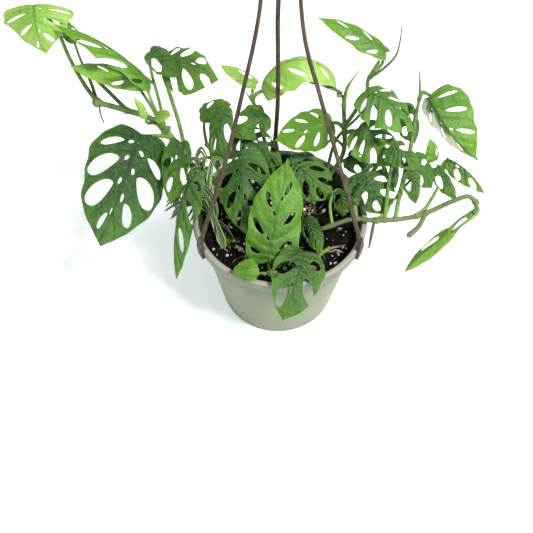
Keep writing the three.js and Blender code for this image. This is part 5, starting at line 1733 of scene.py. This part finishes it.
def paper_floor(half, low):
    """Square of white paper with sides of twice half, a little below the pot's foot, that
    glows faintly."""
    mesh = bpy.data.meshes.new("floor")
    mesh.from_pydata([(-half, -half, low), (half, -half, low), (half, half, low), (-half, half, low)],
                     [], [(0, 1, 2, 3)])
    p = Paint("floor_paper")
    shade = p.mix(p.noise(3, 2), (0.96, 0.965, 0.97), (0.975, 0.975, 0.975))
    mesh.materials.append(p.finish(shade, 0.9, Emission_Color=(0.88, 1.0, 0.95, 1.0),
                                   Emission_Strength=0.32))
    floor = bpy.data.objects.new("floor", mesh)
    bpy.context.scene.collection.objects.link(floor)
    floor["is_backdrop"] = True


def sky(tint, strength):
    """Even light from all sides."""
    world = bpy.data.worlds.new("studio")
    world.use_nodes = True
    inputs = world.node_tree.nodes["Background"].inputs
    inputs["Color"].default_value = (*tint, 1)
    inputs["Strength"].default_value = strength
    bpy.context.scene.world = world


def camera_at(eye, target, lens, roll):
    """Camera at eye that looks at a target, rolled about its axis by roll degrees."""
    camera = bpy.data.cameras.new("camera")
    camera.lens = lens
    camera.sensor_width = 36
    camera.clip_start = 0.01
    holder = bpy.data.objects.new("camera", camera)
    holder.matrix_world = (Matrix.Translation(eye) @ aimed(eye, target).to_matrix().to_4x4()
                           @ Matrix.Rotation(math.radians(roll), 4, "Z"))
    bpy.context.scene.collection.objects.link(holder)
    bpy.context.scene.camera = holder


class PLANT_OT_stage(bpy.types.Operator):
    """Set up the floor, the soft light and the camera"""
    bl_idname = "plant.stage"
    bl_label = "Stage"

    def execute(self, context):
        paper_floor(half=6.0, low=-0.0005)
        sky(tint=(0.93, 0.97, 1.0), strength=0.52)
        lamp("key", place=(0.6, -0.48, 1.4), target=(0, 0, 0.1), size=0.25, power=28,
             tint=(1.0, 0.985, 0.94))
        lamp("fill", place=(-1.3, -0.8, 1.2), target=(-0.1, 0, 0.05), size=1.6, power=4.5,
             tint=(0.93, 0.97, 1.0))
        camera_at(eye=(-0.012, -0.3258, 0.5215), target=(-0.012, 0, 0.033), lens=37.82, roll=0.2)
        bpy.context.scene.view_settings.view_transform = "Standard"
        return {"FINISHED"}


class PLANT_PT_panel(bpy.types.Panel):
    """Lists the building steps with their sizes and colours"""
    bl_idname = "PLANT_PT_panel"
    bl_label = "Hanging monstera"
    bl_space_type = "VIEW_3D"
    bl_region_type = "UI"
    bl_category = "Monstera"

    def draw(self, context):
        for operator in OPERATORS:
            self.layout.operator(operator.bl_idname)
        for group in (context.scene.plant_sizes, context.scene.plant_colours):
            for key in group.__annotations__:
                self.layout.prop(group, key)


OPERATORS = (PLANT_OT_leaves, PLANT_OT_stems, PLANT_OT_companion, PLANT_OT_pot, PLANT_OT_soil,
             PLANT_OT_hanger, PLANT_OT_stage)
CLASSES = (PlantSizes, PlantColours, *OPERATORS, PLANT_PT_panel)


def register():
    """Register every class and hang the settings on the scene."""
    for each in CLASSES:
        bpy.utils.register_class(each)
    bpy.types.Scene.plant_sizes = bpy.props.PointerProperty(type=PlantSizes)
    bpy.types.Scene.plant_colours = bpy.props.PointerProperty(type=PlantColours)


def unregister():
    """Undo what register does, in the opposite order."""
    del bpy.types.Scene.plant_colours
    del bpy.types.Scene.plant_sizes
    for each in reversed(CLASSES):
        bpy.utils.unregister_class(each)


def main():
    """Register the add-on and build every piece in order."""
    register()
    bpy.ops.plant.leaves()
    bpy.ops.plant.stems()
    bpy.ops.plant.companion()
    bpy.ops.plant.pot()
    bpy.ops.plant.soil()
    bpy.ops.plant.hanger()
    bpy.ops.plant.stage()
    boxes = {"cad": CAD_BOX, "visual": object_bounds()}
    {k: [list(map(float, corner)) for corner in box] for k, box in boxes.items()}


if __name__ == "__main__":
    main()
